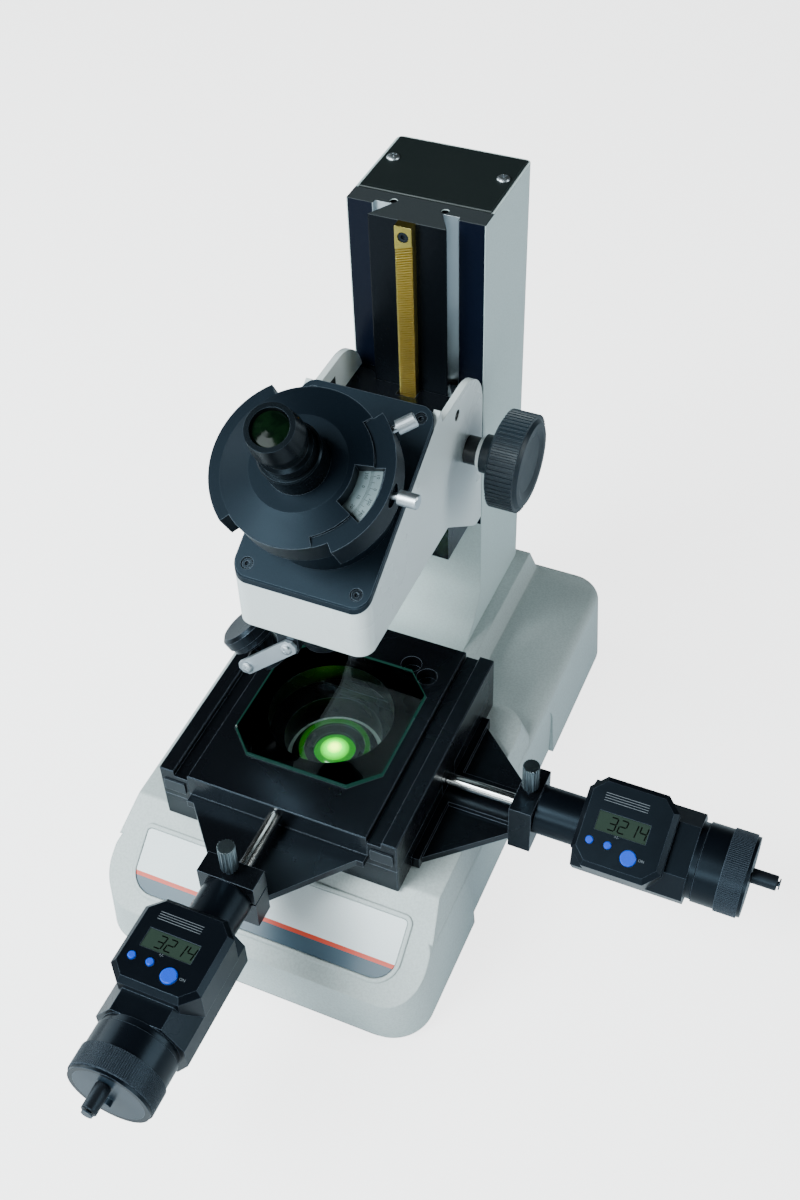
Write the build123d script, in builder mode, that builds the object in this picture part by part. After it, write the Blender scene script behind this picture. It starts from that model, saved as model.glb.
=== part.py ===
"""Toolmakers microscope, modelled as the pieces it would come apart into on a bench.

Frame: millimetres, +X to the right, +Y to the rear, +Z up. The origin is the point of the bench
straight below the optical axis, which is also the centre of the stage at mid travel.
The operator sits on the -Y side. The right micrometer moves the stage along X and the front one
along Y. The head climbs a dovetail on the column, driven by a rack and pinion.
"""
import os
from math import atan2, cos, degrees, pi, radians, sin, tan

from build123d import *

os.makedirs("parts", exist_ok=True)

# General fits and finishes
running_fit = 0.06       # radial gap of a shaft in its bore
slide_gap = 0.3          # between ground faces that slide on each other
body_gap = 0.4           # between bodies that only pass each other
edge_break = 0.6         # small chamfer that takes the sharpness off an edge
fine_edge = 0.5          # finer chamfer of machined parts
reach_through = 1.0      # how far a cutting shape runs past the face it cuts

# Base casting
base_half_width = 107.4
base_front = 127.4
base_back = 230.0
base_corner_radius = 25.0
base_underside = 7.5
base_wall = 9.0
wall_draft = 3.3
shelf_height = 66.0
shelf_edge_radius = 6.0
platform_height = 82.5
platform_half_width = 99.8
platform_back = 78.0
platform_corner_radius = 18.0
slope_top_y = -71.0
slope_angle = 39.0
slope_edge_radius = 4.0
slope_overrun = 10.0
platform_under_slope = 40.0
plate_rim_width = 3.0
plate_rim_height = 1.0
plinth_half_width = 50.0
plinth_back = 221.0
plinth_under_platform = 20.0
waist_depth = 3.2
waist_front = -34.0
waist_back = 112.0
waist_top = 60.0
waist_corner_radius = 20.0
bottom_plate_inset = 0.6
bottom_plate_thickness = 2.0
foot_radius = 11.0
foot_inset = 19.0
foot_taper = 6.0

# Nameplate panel on the front slope
panel_half_width = 86.0
panel_start = 18.0
panel_length = 38.0
panel_low_corner = 14.0
panel_high_corner = 2.5
panel_recess = 1.6
panel_thickness = 1.2

# Connections on the rear wall
rear_recess_depth = 3.5
rear_recess_width = 150.0
rear_recess_height = 36.0
rear_recess_corner = 4.0
rear_centre_height = 36.0
inlet_x = -52.0
inlet_width = 28.0
inlet_height = 20.0
inlet_depth = 16.0
inlet_floor = 3.0
inlet_wall = 2.0
inlet_flange_width = 36.0
inlet_flange_height = 26.0
inlet_flange_corner = 3.0
inlet_flange_thickness = 2.0
inlet_pin_length = 8.0
inlet_pin_width = 2.0
inlet_pin_height = 5.0
inlet_pin_places = ((-7, -2), (7, -2), (0, 3))
switch_x = -8.0
switch_width = 12.0
switch_height = 19.0
switch_angle = 16.0
switch_pivot_depth = 2.0
switch_proud = 0.5
switch_back = 2.0
switch_pin_radius = 1.2
switch_pin_proud = 0.3
dimmer_x = 42.0
dimmer_radius = 9.0
dimmer_length = 13.0
dimmer_shaft_radius = 3.0
dimmer_shaft_depth = 10.0
dimmer_line_width = 1.2
dimmer_line_depth = 2.0

# Column, its dovetail, rack and top cover
column_half_width = 40.9
column_front = 142.5
column_back = 214.8
column_top = 386.4
column_wall = 13.0
column_corner_radius = 4.0
foot_curve_radius = 36.0
dovetail_bottom = 170.0
dovetail_tip_y = 131.3
dovetail_tip_half = 23.0
dovetail_angle = 60.0
groove_half_width = 25.0
groove_depth = 3.0
cover_half_width = 39.3
cover_front = 155.0
cover_back = 212.8
cover_thickness = 3.0
cover_proud = 1.0
cover_edge = 0.4
cover_screw_x = 33.2
cover_screw_y = 189.0
tapped_hole_x = 15.2
tapped_hole_y = 148.4
tapped_hole_radius = 2.2
tapped_hole_depth = 12.0
pan_head_radius = 3.4
pan_head_height = 1.8
pan_head_taper = 18.0
cover_screw_length = 8.0
rack_width = 10.0
rack_bottom = 176.0
rack_plain_top = 12.5
rack_screw_drop = 6.5
rack_screw_hold = 8.0
rack_screw_sink = 0.4
rack_pitch_depth = 5.3
gear_module = 0.5
pressure_angle = 20.0
helix_angle = 18.0
gear_backlash = 0.14
gear_dedendum = 1.25 * gear_module
pinion_addendum = 0.9 * gear_module
pinion_teeth = 32
pinion_height = 252.0

# Stage
stage_size = 152.0
stage_top = 125.0
saddle_height = 23.2
saddle_floor = 7.0
saddle_rail_width = 9.5
guide_drop = 4.0
block_aperture_radius = 30.0
saddle_aperture_length = 104.0
saddle_aperture_width = 62.0
top_plate_width = 114.6
top_plate_gap = 0.4
stage_travel = 50.0
stage_aperture_radius = 38.0
glass_width = 96.6
glass_corner = 16.0
glass_thickness = 5.0
glass_seat_depth = 2.6
glass_clearance = 0.3
finger_hole_radius = 6.5
finger_hole_depth = 8.0
finger_places = ((29.5, 54.0), (42.5, 48.0))
guide_cover_width = 14.0
guide_cover_height = 9.0
guide_cover_thickness = 1.0
guide_cover_drop = 3.0
guide_cover_corner = 0.8
anvil_width = 18.0
anvil_thickness = 6.0
anvil_height = 9.0
anvil_clearance = 1.5
anvil_end_clearance = 2.0

# Micrometer heads and their brackets, the same on both axes
right_axis_height = 97.5
front_axis_height = 117.5
spindle_radius = 4.0
spindle_length = 92.0
spindle_chamfer = 0.4
bracket_reach = 45.0
bracket_root_half = 57.0
bracket_plate_top = -9.5
bracket_plate_thickness = 5.0
right_flange_top = -6.0
front_flange_top = -9.5
bracket_flange_thickness = 5.0
bracket_rib_half = 12.0
clamp_thickness = 13.6
clamp_half_width = 17.4
clamp_above = 14.6
clamp_below = 21.0
clamp_slot = 1.6
stem_radius = 9.0
clamp_neck_radius = 2.2
clamp_neck_length = 4.0
clamp_knob_radius = 5.0
clamp_knob_length = 18.7
clamp_ridges = 18
clamp_ridge_foot = 7.3       # half angle of a ridge at its foot, in degrees
clamp_ridge_tip = 2.7        # and at its tip
knurl_depth = 0.35
sleeve_radius = 14.7
sleeve_length = 27.0
housing_length = 66.0
housing_half_width = 26.0
housing_top = 21.0
housing_floor_share = 0.7
housing_low_shoulder = 9.0
housing_high_shoulder = 6.0
housing_roof_half = 15.0
pedestal_root = 6.0
seal_step = 1.0
seal_length = 4.0
bore_spare = 6.0
display_size = 53.0
display_corner = 8.5
display_height = 28.0
display_bevel = 3.0
display_tilt = 28.0
window_width = 30.0
window_height = 11.5
window_depth = 1.5
window_sink = 0.4
window_gap = 0.05
window_offset_x = -1.5
window_offset_y = 0.8
small_button_radius = 2.2
large_button_radius = 4.6
button_travel = 0.8
button_proud = 1.4
button_depth = 3.0
button_gap = 0.25
button_floor_gap = 0.3
button_row = -11.6
large_button_row = -15.0
button_places = (-17.0, -6.3, 6.7)
core_radius = 9.0
thimble_radius = 23.6
thimble_wall = 3.0
knurl_radius = 24.3
thimble_length = 28.5
knurl_start = 13.5
knurl_length = 13.0
thimble_ridges = 48
thimble_ridge_foot = 2.7     # half angle of a ridge at its foot, in degrees
thimble_ridge_tip = 0.9      # and at its tip
disc_thickness = 2.4
crank_offset = 11.0
crank_radius = 4.4
crank_length = 15.0
crank_pin_radius = 1.5
crank_pin_head = 0.8
crank_pin_head_radius = 3.2
disc_hub_wall = 2.5
disc_hub_inset = 1.0
stub_radius = 2.2
stub_offset = -5.0
stub_length = 3.5

# Head and focus drive
carriage_below_pinion = 74.0
carriage_above_pinion = 24.0
carriage_front = 98.0
gib_thickness = 3.0
gib_end_gap = 1.0
rack_side_gap = 1.0
rack_channel_depth = 10.0
rack_channel_offset = 4.0
pinion_chamber_radius = 9.6
shaft_radius = 4.5
shaft_left = -28.0
stop_collar_radius = 8.5
stop_collar_start = 41.0
stop_collar_end = 48.6
washer_radius = 9.5
collar_radius = 11.5
collar_inner_x = 49.0
collar_step_x = 51.5
knob_inner_x = 60.5
knob_radius = 29.2
knob_width = 20.0
knob_dish_radius = 21.0
knob_dish_depth = 1.6
knob_ribs = 60
knob_rib_depth = 0.9
knob_rib_foot = 2.0          # half angle of a rib at its foot, in degrees
knob_rib_tip = 1.2           # and at its tip
knob_rib_inset = 2.0
knob_rim_slope = 3.0
knob_dish_slope = 4.0
shaft_end_gap = 2.0
head_half_width = 40.6
head_wall = 4.0
head_front = -25.8
head_bottom = pinion_height - 37.0
head_bottom_back = 88.0
head_shin_y = 129.0
head_shin_z = pinion_height - 71.0
head_heel_y = 134.0
head_top = pinion_height + 48.0
head_top_front = 81.0
head_back_radius = 30.0
head_top_lip = 2.0
head_throat_height = 18.0
head_open_top = 20.0
head_corner_radius = 9.5
side_hole_y = 102.7
side_hole_z = pinion_height + 36.2
side_hole_radius = 3.5
head_tilt = 30.0
head_cover_front_y = -26.1
head_cover_front_z = pinion_height + 0.7
head_cover_length = 118.9
head_cover_thickness = 3.9
head_screw_x = 32.4
head_screw_inset = 8.0
cover_chamfer = 0.7
screw_head_radius = 3.0
screw_head_height = 2.6
screw_shank_radius = 1.75
socket_radius = 1.5
socket_depth = 1.6
counterbore_gap = 0.3
head_screw_sink = 0.5
head_screw_gap = 0.6
head_screw_length = 10.0
head_screw_hole_depth = 12.0
boss_radius = 6.0
boss_length = 22.0

# Protractor head and eyepiece, heights measured along the eyepiece axis from the head cover
dial_distance = 52.6
light_hole_radius = 24.0
tube_clearance = 3.0
dial_base_radius = 38.0
dial_hub_radius = 30.0
ring_bottom = 35.5
ring_top = 54.0
ring_radius = 43.8
grip_bottom = 34.5
grip_radius = 49.4
grip_half_angle = 51.0
cone_top = 58.9
cone_top_radius = 26.3
shell_floor = 49.2
shell_inner_radius = 42.2
ledge_height = 53.4
ledge_inner_radius = 38.5
ledge_start_angle = -62.0
window_inner_radius = 29.3
window_outer_radius = 44.0
window_start_angle = -27.0
window_end_angle = 14.0
scale_inner_radius = 24.0
scale_outer_radius = 41.8
scale_top = 48.5
scale_thickness = 1.2
screw_neck_radius = 2.0
screw_knob_radius = 4.0
screw_knob_length = 10.5
ring_screw_height = 46.5
lower_screw_angle = 0.0
lower_screw_gap = 3.0
upper_screw_angle = 42.0
upper_screw_gap = 2.6
screw_slot_length = 13.0
screw_slot_depth = 2.0
screw_slot_gap = 0.5
tube_radius = 17.0
tube_bottom = 50.0
tube_top = 75.0
tube_rim_chamfer = 0.8
eyepiece_stem_radius = 12.0
eyepiece_ring_radius = 14.6
eyepiece_neck_radius = 12.6
eyepiece_cap_radius = 14.6
eyepiece_rim_radius = 13.0
eyepiece_ring_start = 0.5    # these six are heights above the top of the tube
eyepiece_ring_end = 6.5
eyepiece_neck_start = 8.0
eyepiece_neck_end = 14.5
eyepiece_cap_start = 16.0
eyepiece_cap_end = 19.0
eyepiece_stem_gap = 2.0
eyepiece_top = 106.2
eye_lens_radius = 9.8
eye_lens_depth = 3.0
eye_lens_edge = 0.5
eye_lens_dome = 1.5

# Objective, contour lamp under the stage and surface lamp beside the objective
objective_radius = 16.5
objective_nose_radius = 12.5
objective_bottom = head_bottom - 23.0
objective_bore_radius = 9.0
objective_lip = 4.0
objective_rim = 1.5
objective_nose_length = 9.0
objective_flange = 3.0
objective_lens_thickness = 3.0
objective_lens_hold = 0.5
objective_inside = 14.0
prism_width = 24.0
prism_front = -12.0
prism_back = 34.0
prism_back_rise = 26.0
prism_front_rise = 22.0
prism_top_front = -2.0
prism_top_back = 22.0
lamp_cell_radius = 22.0
lamp_cell_bottom = 40.0
lamp_cell_top = 88.0
lamp_cell_floor = 12.0
lamp_ring_width = 3.0
lamp_ring_height = 2.5
cell_flange_width = 5.0
cell_flange_thickness = 2.0
emitter_size = 7.0
emitter_thickness = 1.5
lamp_lens_radius = 13.0
lamp_lens_thickness = 7.0
lamp_lens_dome = 4.5
lamp_lens_rim_drop = 2.5
surface_lamp_y = -7.0
lamp_tilt = 49.7
lamp_pivot_x = -36.8
lamp_pivot_z = head_bottom - 36.7
lamp_front_length = 12.5
lamp_nose_radius = 9.5
lamp_nose_length = 4.5
lamp_barrel_radius = 9.0
lamp_barrel_end = 4.0
lamp_flange_radius = 12.5
lamp_flange_end = 7.0
lamp_body_radius = 15.5
lamp_body_end = 10.3
lamp_cap_radius = 16.5
lamp_cap_chamfer = 2.0
lamp_back_length = 18.0
lamp_mouth_radius = 7.0
lamp_mouth_depth = 4.0
lamp_nose_step = 0.5
lamp_flange_slope = 1.0
lamp_cap_step = 0.3
lamp_stub_radius = 3.4
lamp_stub_gap = 0.2
arm_pivot_x = -9.9
arm_pivot_z = head_bottom - 10.7
arm_front = -26.6
arm_thickness = 2.2
arm_half_width = 4.8
arm_end_length = 6.5
arm_corner_cut = 3.0
arm_pin_radius = 1.6
arm_screw_radius = 3.6
arm_screw_height = 1.3
arm_screw_taper = 20.0
lug_gap = 0.3
lug_thickness = 4.5
lug_width = 13.0
lug_below_pivot = 5.0
lug_corner = 4.0

# Places worked out from the sizes above
half_stage = stage_size / 2
half_travel = stage_travel / 2
block_top = stage_top - saddle_height - slide_gap
saddle_bottom = stage_top - saddle_height
saddle_floor_top = saddle_bottom + saddle_floor
top_plate_bottom = saddle_floor_top + slide_gap
carriage_bottom = pinion_height - carriage_below_pinion
carriage_top = pinion_height + carriage_above_pinion
objective_top = head_bottom + head_wall + objective_inside
base_length = base_front + base_back
base_middle = (base_back - base_front) / 2
pinion_radius = gear_module * pinion_teeth / 2
tooth_pitch = pi * gear_module
rack_pitch_y = dovetail_tip_y - rack_pitch_depth
pinion_y = rack_pitch_y - pinion_radius
carriage_half_width = head_half_width - head_wall
clamp_far = bracket_reach + clamp_thickness
sleeve_start = clamp_far + body_gap
housing_start = sleeve_start + sleeve_length
housing_end = housing_start + housing_length
thimble_start = housing_end + seal_length
thimble_end = thimble_start + thimble_length
display_centre = housing_start + display_size / 2
shaft_end_x = knob_inner_x - shaft_end_gap
panel_drop = panel_recess - plate_rim_height
cover_slope_up = tan(radians(head_tilt))
cover_drop = head_cover_thickness / cos(radians(head_tilt))
cover_back_y = head_cover_front_y + head_cover_length * cos(radians(head_tilt))
cover_back_z = head_cover_front_z + head_cover_length * sin(radians(head_tilt))


def place(part, name):
    """Name a finished piece and write it to its own file."""
    part.label = name
    export_step(part, "parts/" + name + ".step")


def base_half_width_at(height):
    """Half width of the drafted base wall at a height above the bench."""
    return base_half_width - (height - base_underside) * tan(radians(wall_draft))


def slope_height(y):
    """Height of the front slope above the bench at a depth y."""
    return platform_height + (y - slope_top_y) * tan(radians(slope_angle))


def polar(radius, angle):
    """Point at a radius and an angle in degrees."""
    return (radius * cos(radians(angle)), radius * sin(radians(angle)))


def dome_points(half_width, base, rise):
    """Points of a lens cap from its rim to its middle, drawn as a few straight steps."""
    return [(half_width * share, base + rise * (1 - share ** 2)) for share in (1, 0.8, 0.5, 0.2, 0)]


def gear_outline(teeth, root, tip, root_half, tip_half, turn=0.0):
    """Points of a straight sided gear: each tooth is a trapezium between root and tip circles."""
    points = []
    for index in range(teeth):
        middle = 360 / teeth * index + turn
        points += [polar(root, middle - root_half), polar(tip, middle - tip_half),
                   polar(tip, middle + tip_half), polar(root, middle + root_half)]
    return points


# Base casting: drafted housing, raised platform, front slope and a plinth for the column
platform_spread = base_half_width_at(shelf_height) - platform_half_width
platform_rise = platform_height - shelf_height
platform_taper = degrees(atan2(platform_spread, platform_rise))
platform_front = slope_top_y - platform_under_slope
slope_end_y = -(base_front + slope_overrun)
slope_plane = Plane(origin=(0, slope_top_y, platform_height), x_dir=(1, 0, 0),
                    z_dir=(0, -sin(radians(slope_angle)), cos(radians(slope_angle))))
panel_middle = -(panel_start + panel_length / 2)
rear_panel_y = base_back - rear_recess_depth
rear_panel_plane = Plane(origin=(0, rear_panel_y, rear_centre_height), x_dir=(-1, 0, 0), z_dir=(0, 1, 0))


def panel_outline(extra):
    """Nameplate outline on the slope, grown all round by a margin; the low corners are large."""
    with BuildSketch(slope_plane) as outline:
        with Locations((0, panel_middle)):
            Rectangle(2 * (panel_half_width + extra), panel_length + 2 * extra)
        low = outline.vertices().group_by(Axis.Y)[0]
        fillet(low, radius=panel_low_corner + extra)
        high = outline.vertices().group_by(Axis.Y)[-1]
        fillet(high, radius=panel_high_corner + extra)
    return outline.sketch


panel_sketch = panel_outline(0)
recess_sketch = panel_outline(body_gap)
rim_sketch = panel_outline(plate_rim_width)

with BuildPart() as base_casting:
    with BuildSketch(Plane.XY.offset(base_underside)):
        with Locations((0, base_middle)):
            RectangleRounded(2 * base_half_width, base_length, base_corner_radius)
    extrude(amount=shelf_height - base_underside, taper=wall_draft)
    fillet(base_casting.faces().sort_by(Axis.Z)[-1].edges(), radius=shelf_edge_radius)
    # Raised platform that carries the stage
    with BuildSketch(Plane.XY.offset(shelf_height - edge_break)):
        with Locations((0, (platform_back + platform_spread + platform_front) / 2)):
            Rectangle(2 * base_half_width_at(shelf_height),
                      platform_back + platform_spread - platform_front)
    extrude(amount=platform_rise + edge_break, taper=platform_taper)
    platform_corners = (base_casting.edges().filter_by(lambda e: abs((e % 0.5).Z) > 0.5)
                        .filter_by_position(Axis.Z, shelf_height, platform_height, (False, False))
                        .group_by(Axis.Y)[-1])
    fillet(platform_corners, radius=platform_corner_radius)
    # Plinth under the column
    with BuildSketch(Plane.XY.offset(shelf_height - edge_break)):
        with Locations((0, (platform_back + plinth_back) / 2 - plinth_under_platform / 2)):
            Rectangle(2 * (plinth_half_width + platform_spread),
                      plinth_back - platform_back + plinth_under_platform)
    extrude(amount=platform_rise + edge_break, taper=platform_taper)
    # Front slope
    with BuildSketch(Plane.YZ):
        with BuildLine():
            Polyline((slope_end_y, slope_height(slope_end_y)), (slope_top_y, platform_height),
                     (slope_top_y, platform_height + slope_overrun),
                     (slope_end_y, platform_height + slope_overrun),
                     close=True)
        make_face()
    extrude(amount=base_half_width + reach_through, both=True, mode=Mode.SUBTRACT)
    crest_point = (0, slope_top_y, platform_height)
    slope_crest = base_casting.edges().filter_by(Axis.X).sort_by_distance(crest_point)[0]
    fillet(slope_crest, radius=slope_edge_radius)
    # Scooped waist low on each side
    for side in (-1, 1):
        inner_x = base_half_width - waist_depth
        lean = atan2(base_half_width_at(waist_top) - inner_x, waist_top - base_underside)
        waist_run = (waist_top - base_underside) / cos(lean)
        waist_plane = Plane(origin=(side * inner_x, (waist_front + waist_back) / 2, base_underside),
                            x_dir=(0, side, 0), z_dir=(side * cos(lean), 0, -sin(lean)))
        with BuildSketch(waist_plane):
            RectangleRounded(waist_back - waist_front, 2 * waist_run, waist_corner_radius)
        extrude(amount=3 * waist_depth, mode=Mode.SUBTRACT)
    # Hollow inside, open below, with a well for the contour lamp
    with BuildSketch(Plane.XY.offset(base_underside)):
        with Locations((0, (base_back - base_wall + slope_top_y - base_wall) / 2)):
            RectangleRounded(2 * (base_half_width - base_wall - waist_depth / 2),
                             base_back - slope_top_y, base_corner_radius - base_wall)
    extrude(amount=shelf_height - base_wall - base_underside, taper=wall_draft, mode=Mode.SUBTRACT)
    with BuildSketch(Plane.XY.offset(platform_height)):
        Circle(lamp_cell_radius + running_fit)
    extrude(amount=-(platform_height - base_underside), mode=Mode.SUBTRACT)
    # Raised rim and recess for the nameplate
    add(extrude(rim_sketch, amount=plate_rim_height, mode=Mode.PRIVATE))
    add(extrude(recess_sketch, amount=plate_rim_height + reach_through, mode=Mode.PRIVATE),
        mode=Mode.SUBTRACT)
    add(extrude(recess_sketch, amount=-panel_drop, mode=Mode.PRIVATE), mode=Mode.SUBTRACT)
    # Flat recess in the rear wall with the openings for inlet, switch and dimmer
    with BuildSketch(rear_panel_plane):
        RectangleRounded(rear_recess_width, rear_recess_height, rear_recess_corner)
    extrude(amount=rear_recess_depth + reach_through, mode=Mode.SUBTRACT)
    with BuildSketch(rear_panel_plane):
        with Locations((-inlet_x, 0)):
            Rectangle(inlet_width + 2 * running_fit, inlet_height + 2 * running_fit)
        with Locations((-switch_x, 0)):
            Rectangle(switch_width + 2 * body_gap, switch_height + 2 * body_gap)
        with Locations((-dimmer_x, 0)):
            Circle(dimmer_shaft_radius + running_fit)
    extrude(amount=-(2 * base_wall), mode=Mode.SUBTRACT)
place(base_casting.part, "base_casting")

with BuildPart() as nameplate:
    add(extrude(panel_sketch, amount=panel_thickness, mode=Mode.PRIVATE)
        .moved(Location(slope_plane.z_dir * -panel_drop)))
place(nameplate.part, "nameplate")

# Bottom plate closes the casting and carries the rubber feet
plate_bottom = base_underside - bottom_plate_thickness
with BuildPart() as bottom_plate:
    with BuildSketch(Plane.XY.offset(plate_bottom)):
        with Locations((0, base_middle)):
            RectangleRounded(2 * (base_half_width - waist_depth - bottom_plate_inset),
                             base_length - 2 * bottom_plate_inset,
                             base_corner_radius - bottom_plate_inset)
    extrude(amount=bottom_plate_thickness)
place(bottom_plate.part, "bottom_plate")

foot_x = base_half_width - foot_inset
with BuildPart() as rubber_feet:
    with BuildSketch(Plane.XY.offset(plate_bottom)):
        with Locations((0, base_middle)):
            with GridLocations(2 * foot_x, base_length - 2 * foot_inset, 2, 2):
                Circle(foot_radius)
    extrude(amount=-plate_bottom, taper=foot_taper)
place(rubber_feet.part, "rubber_feet")

# Power inlet, rocker switch and brightness knob on the rear wall
with BuildPart() as power_inlet:
    with BuildSketch(rear_panel_plane):
        with Locations((-inlet_x, 0)):
            RectangleRounded(inlet_flange_width, inlet_flange_height, inlet_flange_corner)
    extrude(amount=inlet_flange_thickness)
    with BuildSketch(rear_panel_plane):
        with Locations((-inlet_x, 0)):
            Rectangle(inlet_width, inlet_height)
    extrude(amount=-inlet_depth)
    with BuildSketch(rear_panel_plane.offset(inlet_flange_thickness)):
        with Locations((-inlet_x, 0)):
            RectangleRounded(inlet_width - 2 * inlet_wall, inlet_height - 2 * inlet_wall,
                             2 * inlet_wall)
    extrude(amount=-(inlet_flange_thickness + inlet_depth - inlet_floor), mode=Mode.SUBTRACT)
    with BuildSketch(rear_panel_plane.offset(inlet_floor - inlet_depth - reach_through)):
        with Locations((-inlet_x, 0)):
            with Locations(*inlet_pin_places):
                Rectangle(inlet_pin_width, inlet_pin_height)
    extrude(amount=inlet_pin_length)
place(power_inlet.part, "power_inlet")

rocker_lean = radians(switch_angle / 2)
rocker_plane = Plane(origin=(switch_x, rear_panel_y - switch_pivot_depth, rear_centre_height),
                     x_dir=(0, cos(rocker_lean), sin(rocker_lean)), z_dir=(1, 0, 0))
with BuildPart() as power_switch:
    with BuildSketch(rocker_plane):
        with BuildLine():
            half = switch_height / 2
            face = switch_pivot_depth + switch_proud
            lip = face + half * tan(rocker_lean)
            ThreePointArc((lip, -half), (face, 0), (lip, half))
            Polyline((lip, half), (-switch_back, half - switch_back),
                     (-switch_back, switch_back - half), (lip, -half))
        make_face()
    extrude(amount=switch_width / 2, both=True)
    with BuildSketch(rocker_plane):
        Circle(switch_pin_radius)
    extrude(amount=switch_width / 2 + switch_pin_proud, both=True)
place(power_switch.part, "power_switch")

with BuildPart() as dimmer_knob:
    with BuildSketch(rear_panel_plane.offset(body_gap)):
        with Locations((-dimmer_x, 0)):
            Circle(dimmer_radius)
    extrude(amount=dimmer_length)
    chamfer(dimmer_knob.faces().sort_by(Axis.Y)[-1].edges(), length=edge_break)
    with BuildSketch(rear_panel_plane):
        with Locations((-dimmer_x, 0)):
            Circle(dimmer_shaft_radius)
    extrude(amount=-dimmer_shaft_depth)
    with BuildSketch(rear_panel_plane):
        with Locations((-dimmer_x, 0)):
            Circle(dimmer_shaft_radius)
    extrude(amount=2 * body_gap)
    with BuildSketch(rear_panel_plane.offset(dimmer_length + reach_through)):
        with Locations((-dimmer_x, dimmer_radius)):
            Rectangle(dimmer_line_width, dimmer_radius)
    extrude(amount=-(dimmer_line_depth + reach_through), mode=Mode.SUBTRACT)
place(dimmer_knob.part, "dimmer_knob")

# Contour lamp: a tube standing in the base, with a collector lens and a slotted ring on top
with BuildPart() as contour_lamp:
    with BuildSketch(Plane.XY.offset(lamp_cell_bottom)):
        Circle(lamp_cell_radius)
    extrude(amount=lamp_cell_top - lamp_cell_bottom)
    with BuildSketch(Plane.XY.offset(lamp_cell_top)):
        Circle(lamp_lens_radius + running_fit)
    extrude(amount=-(lamp_cell_top - lamp_cell_bottom - lamp_cell_floor), mode=Mode.SUBTRACT)
    with BuildSketch(Plane.XY.offset(lamp_cell_top)):
        Circle(lamp_cell_radius)
        Circle(lamp_cell_radius - lamp_ring_width, mode=Mode.SUBTRACT)
        with Locations((0, -lamp_cell_radius)):
            Rectangle(lamp_cell_radius, lamp_cell_radius, mode=Mode.SUBTRACT)
    extrude(amount=lamp_ring_height)
    with BuildSketch(Plane.XY.offset(lamp_cell_bottom + lamp_cell_floor)):
        Rectangle(emitter_size, emitter_size)
    extrude(amount=emitter_thickness)
    # Flange that rests on the platform
    with BuildSketch(Plane.XY.offset(platform_height)):
        Circle(lamp_cell_radius + cell_flange_width)
        Circle(lamp_cell_radius - reach_through, mode=Mode.SUBTRACT)
    extrude(amount=cell_flange_thickness)
place(contour_lamp.part, "contour_lamp")

with BuildPart() as collector_lens:
    with BuildSketch(Plane.XZ):
        with BuildLine():
            rim_low = lamp_cell_top - lamp_lens_thickness
            rim_high = lamp_cell_top - lamp_lens_rim_drop
            Polyline((0, rim_low), (lamp_lens_radius, rim_low),
                     *dome_points(lamp_lens_radius, rim_high, lamp_lens_dome), close=True)
        make_face()
    revolve(axis=Axis.Z)
place(collector_lens.part, "collector_lens")

# Column casting: plain flared foot, then a dovetail with ground grooves beside it
root_half = dovetail_tip_half - ((column_front + groove_depth - dovetail_tip_y)
                                 / tan(radians(dovetail_angle)))
groove_floor = column_front + groove_depth


def column_profile():
    """Cross-section of the column above the foot, as a closed line of points."""
    right = [(column_half_width, column_back), (column_half_width, column_front),
             (groove_half_width, column_front), (groove_half_width, groove_floor),
             (root_half, groove_floor), (dovetail_tip_half, dovetail_tip_y)]
    left = [(-x, y) for x, y in reversed(right)]
    return right + left


with BuildPart() as column:
    with BuildSketch(Plane.XY.offset(platform_height)):
        with Locations((0, (column_front + column_back) / 2)):
            Rectangle(2 * column_half_width, column_back - column_front)
    extrude(amount=dovetail_bottom - platform_height)
    with BuildSketch(Plane.XY.offset(dovetail_bottom)):
        with BuildLine():
            Polyline(*column_profile(), close=True)
        make_face()
    extrude(amount=column_top - dovetail_bottom)
    with BuildSketch(Plane.YZ):
        with BuildLine():
            flare_top = (column_front, platform_height + foot_curve_radius)
            flare_toe = (column_front - foot_curve_radius, platform_height)
            RadiusArc(flare_toe, flare_top, -foot_curve_radius)
            Polyline(flare_top, (column_front, platform_height), flare_toe)
        make_face()
    extrude(amount=column_half_width, both=True)
    upright = (column.edges().filter_by(Axis.Z).group_by(Axis.Y)[-1])
    fillet(upright, radius=column_corner_radius)
    # Hollow of the casting and the seat of the top cover
    with BuildSketch(Plane.XY.offset(platform_height)):
        with Locations((0, (cover_front + column_back - column_wall) / 2)):
            Rectangle(2 * (column_half_width - column_wall),
                      column_back - column_wall - cover_front)
    extrude(amount=column_top - platform_height, mode=Mode.SUBTRACT)
    seat_depth = cover_thickness - cover_proud
    with BuildSketch(Plane.XY.offset(column_top)):
        with Locations((0, (cover_front + cover_back) / 2)):
            Rectangle(2 * cover_half_width, cover_back - cover_front)
    extrude(amount=-seat_depth, mode=Mode.SUBTRACT)
    with Locations(Location((tapped_hole_x, tapped_hole_y, column_top)),
                   Location((-tapped_hole_x, tapped_hole_y, column_top))):
        Hole(radius=tapped_hole_radius, depth=tapped_hole_depth)
    with Locations(Location((cover_screw_x, cover_screw_y, column_top - seat_depth)),
                   Location((-cover_screw_x, cover_screw_y, column_top - seat_depth))):
        Hole(radius=screw_shank_radius, depth=cover_screw_length)
    with Locations(Location((0, dovetail_tip_y, column_top - rack_screw_drop), (90, 0, 0))):
        Hole(radius=screw_shank_radius, depth=rack_screw_hold + reach_through)
place(column.part, "column")

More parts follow.
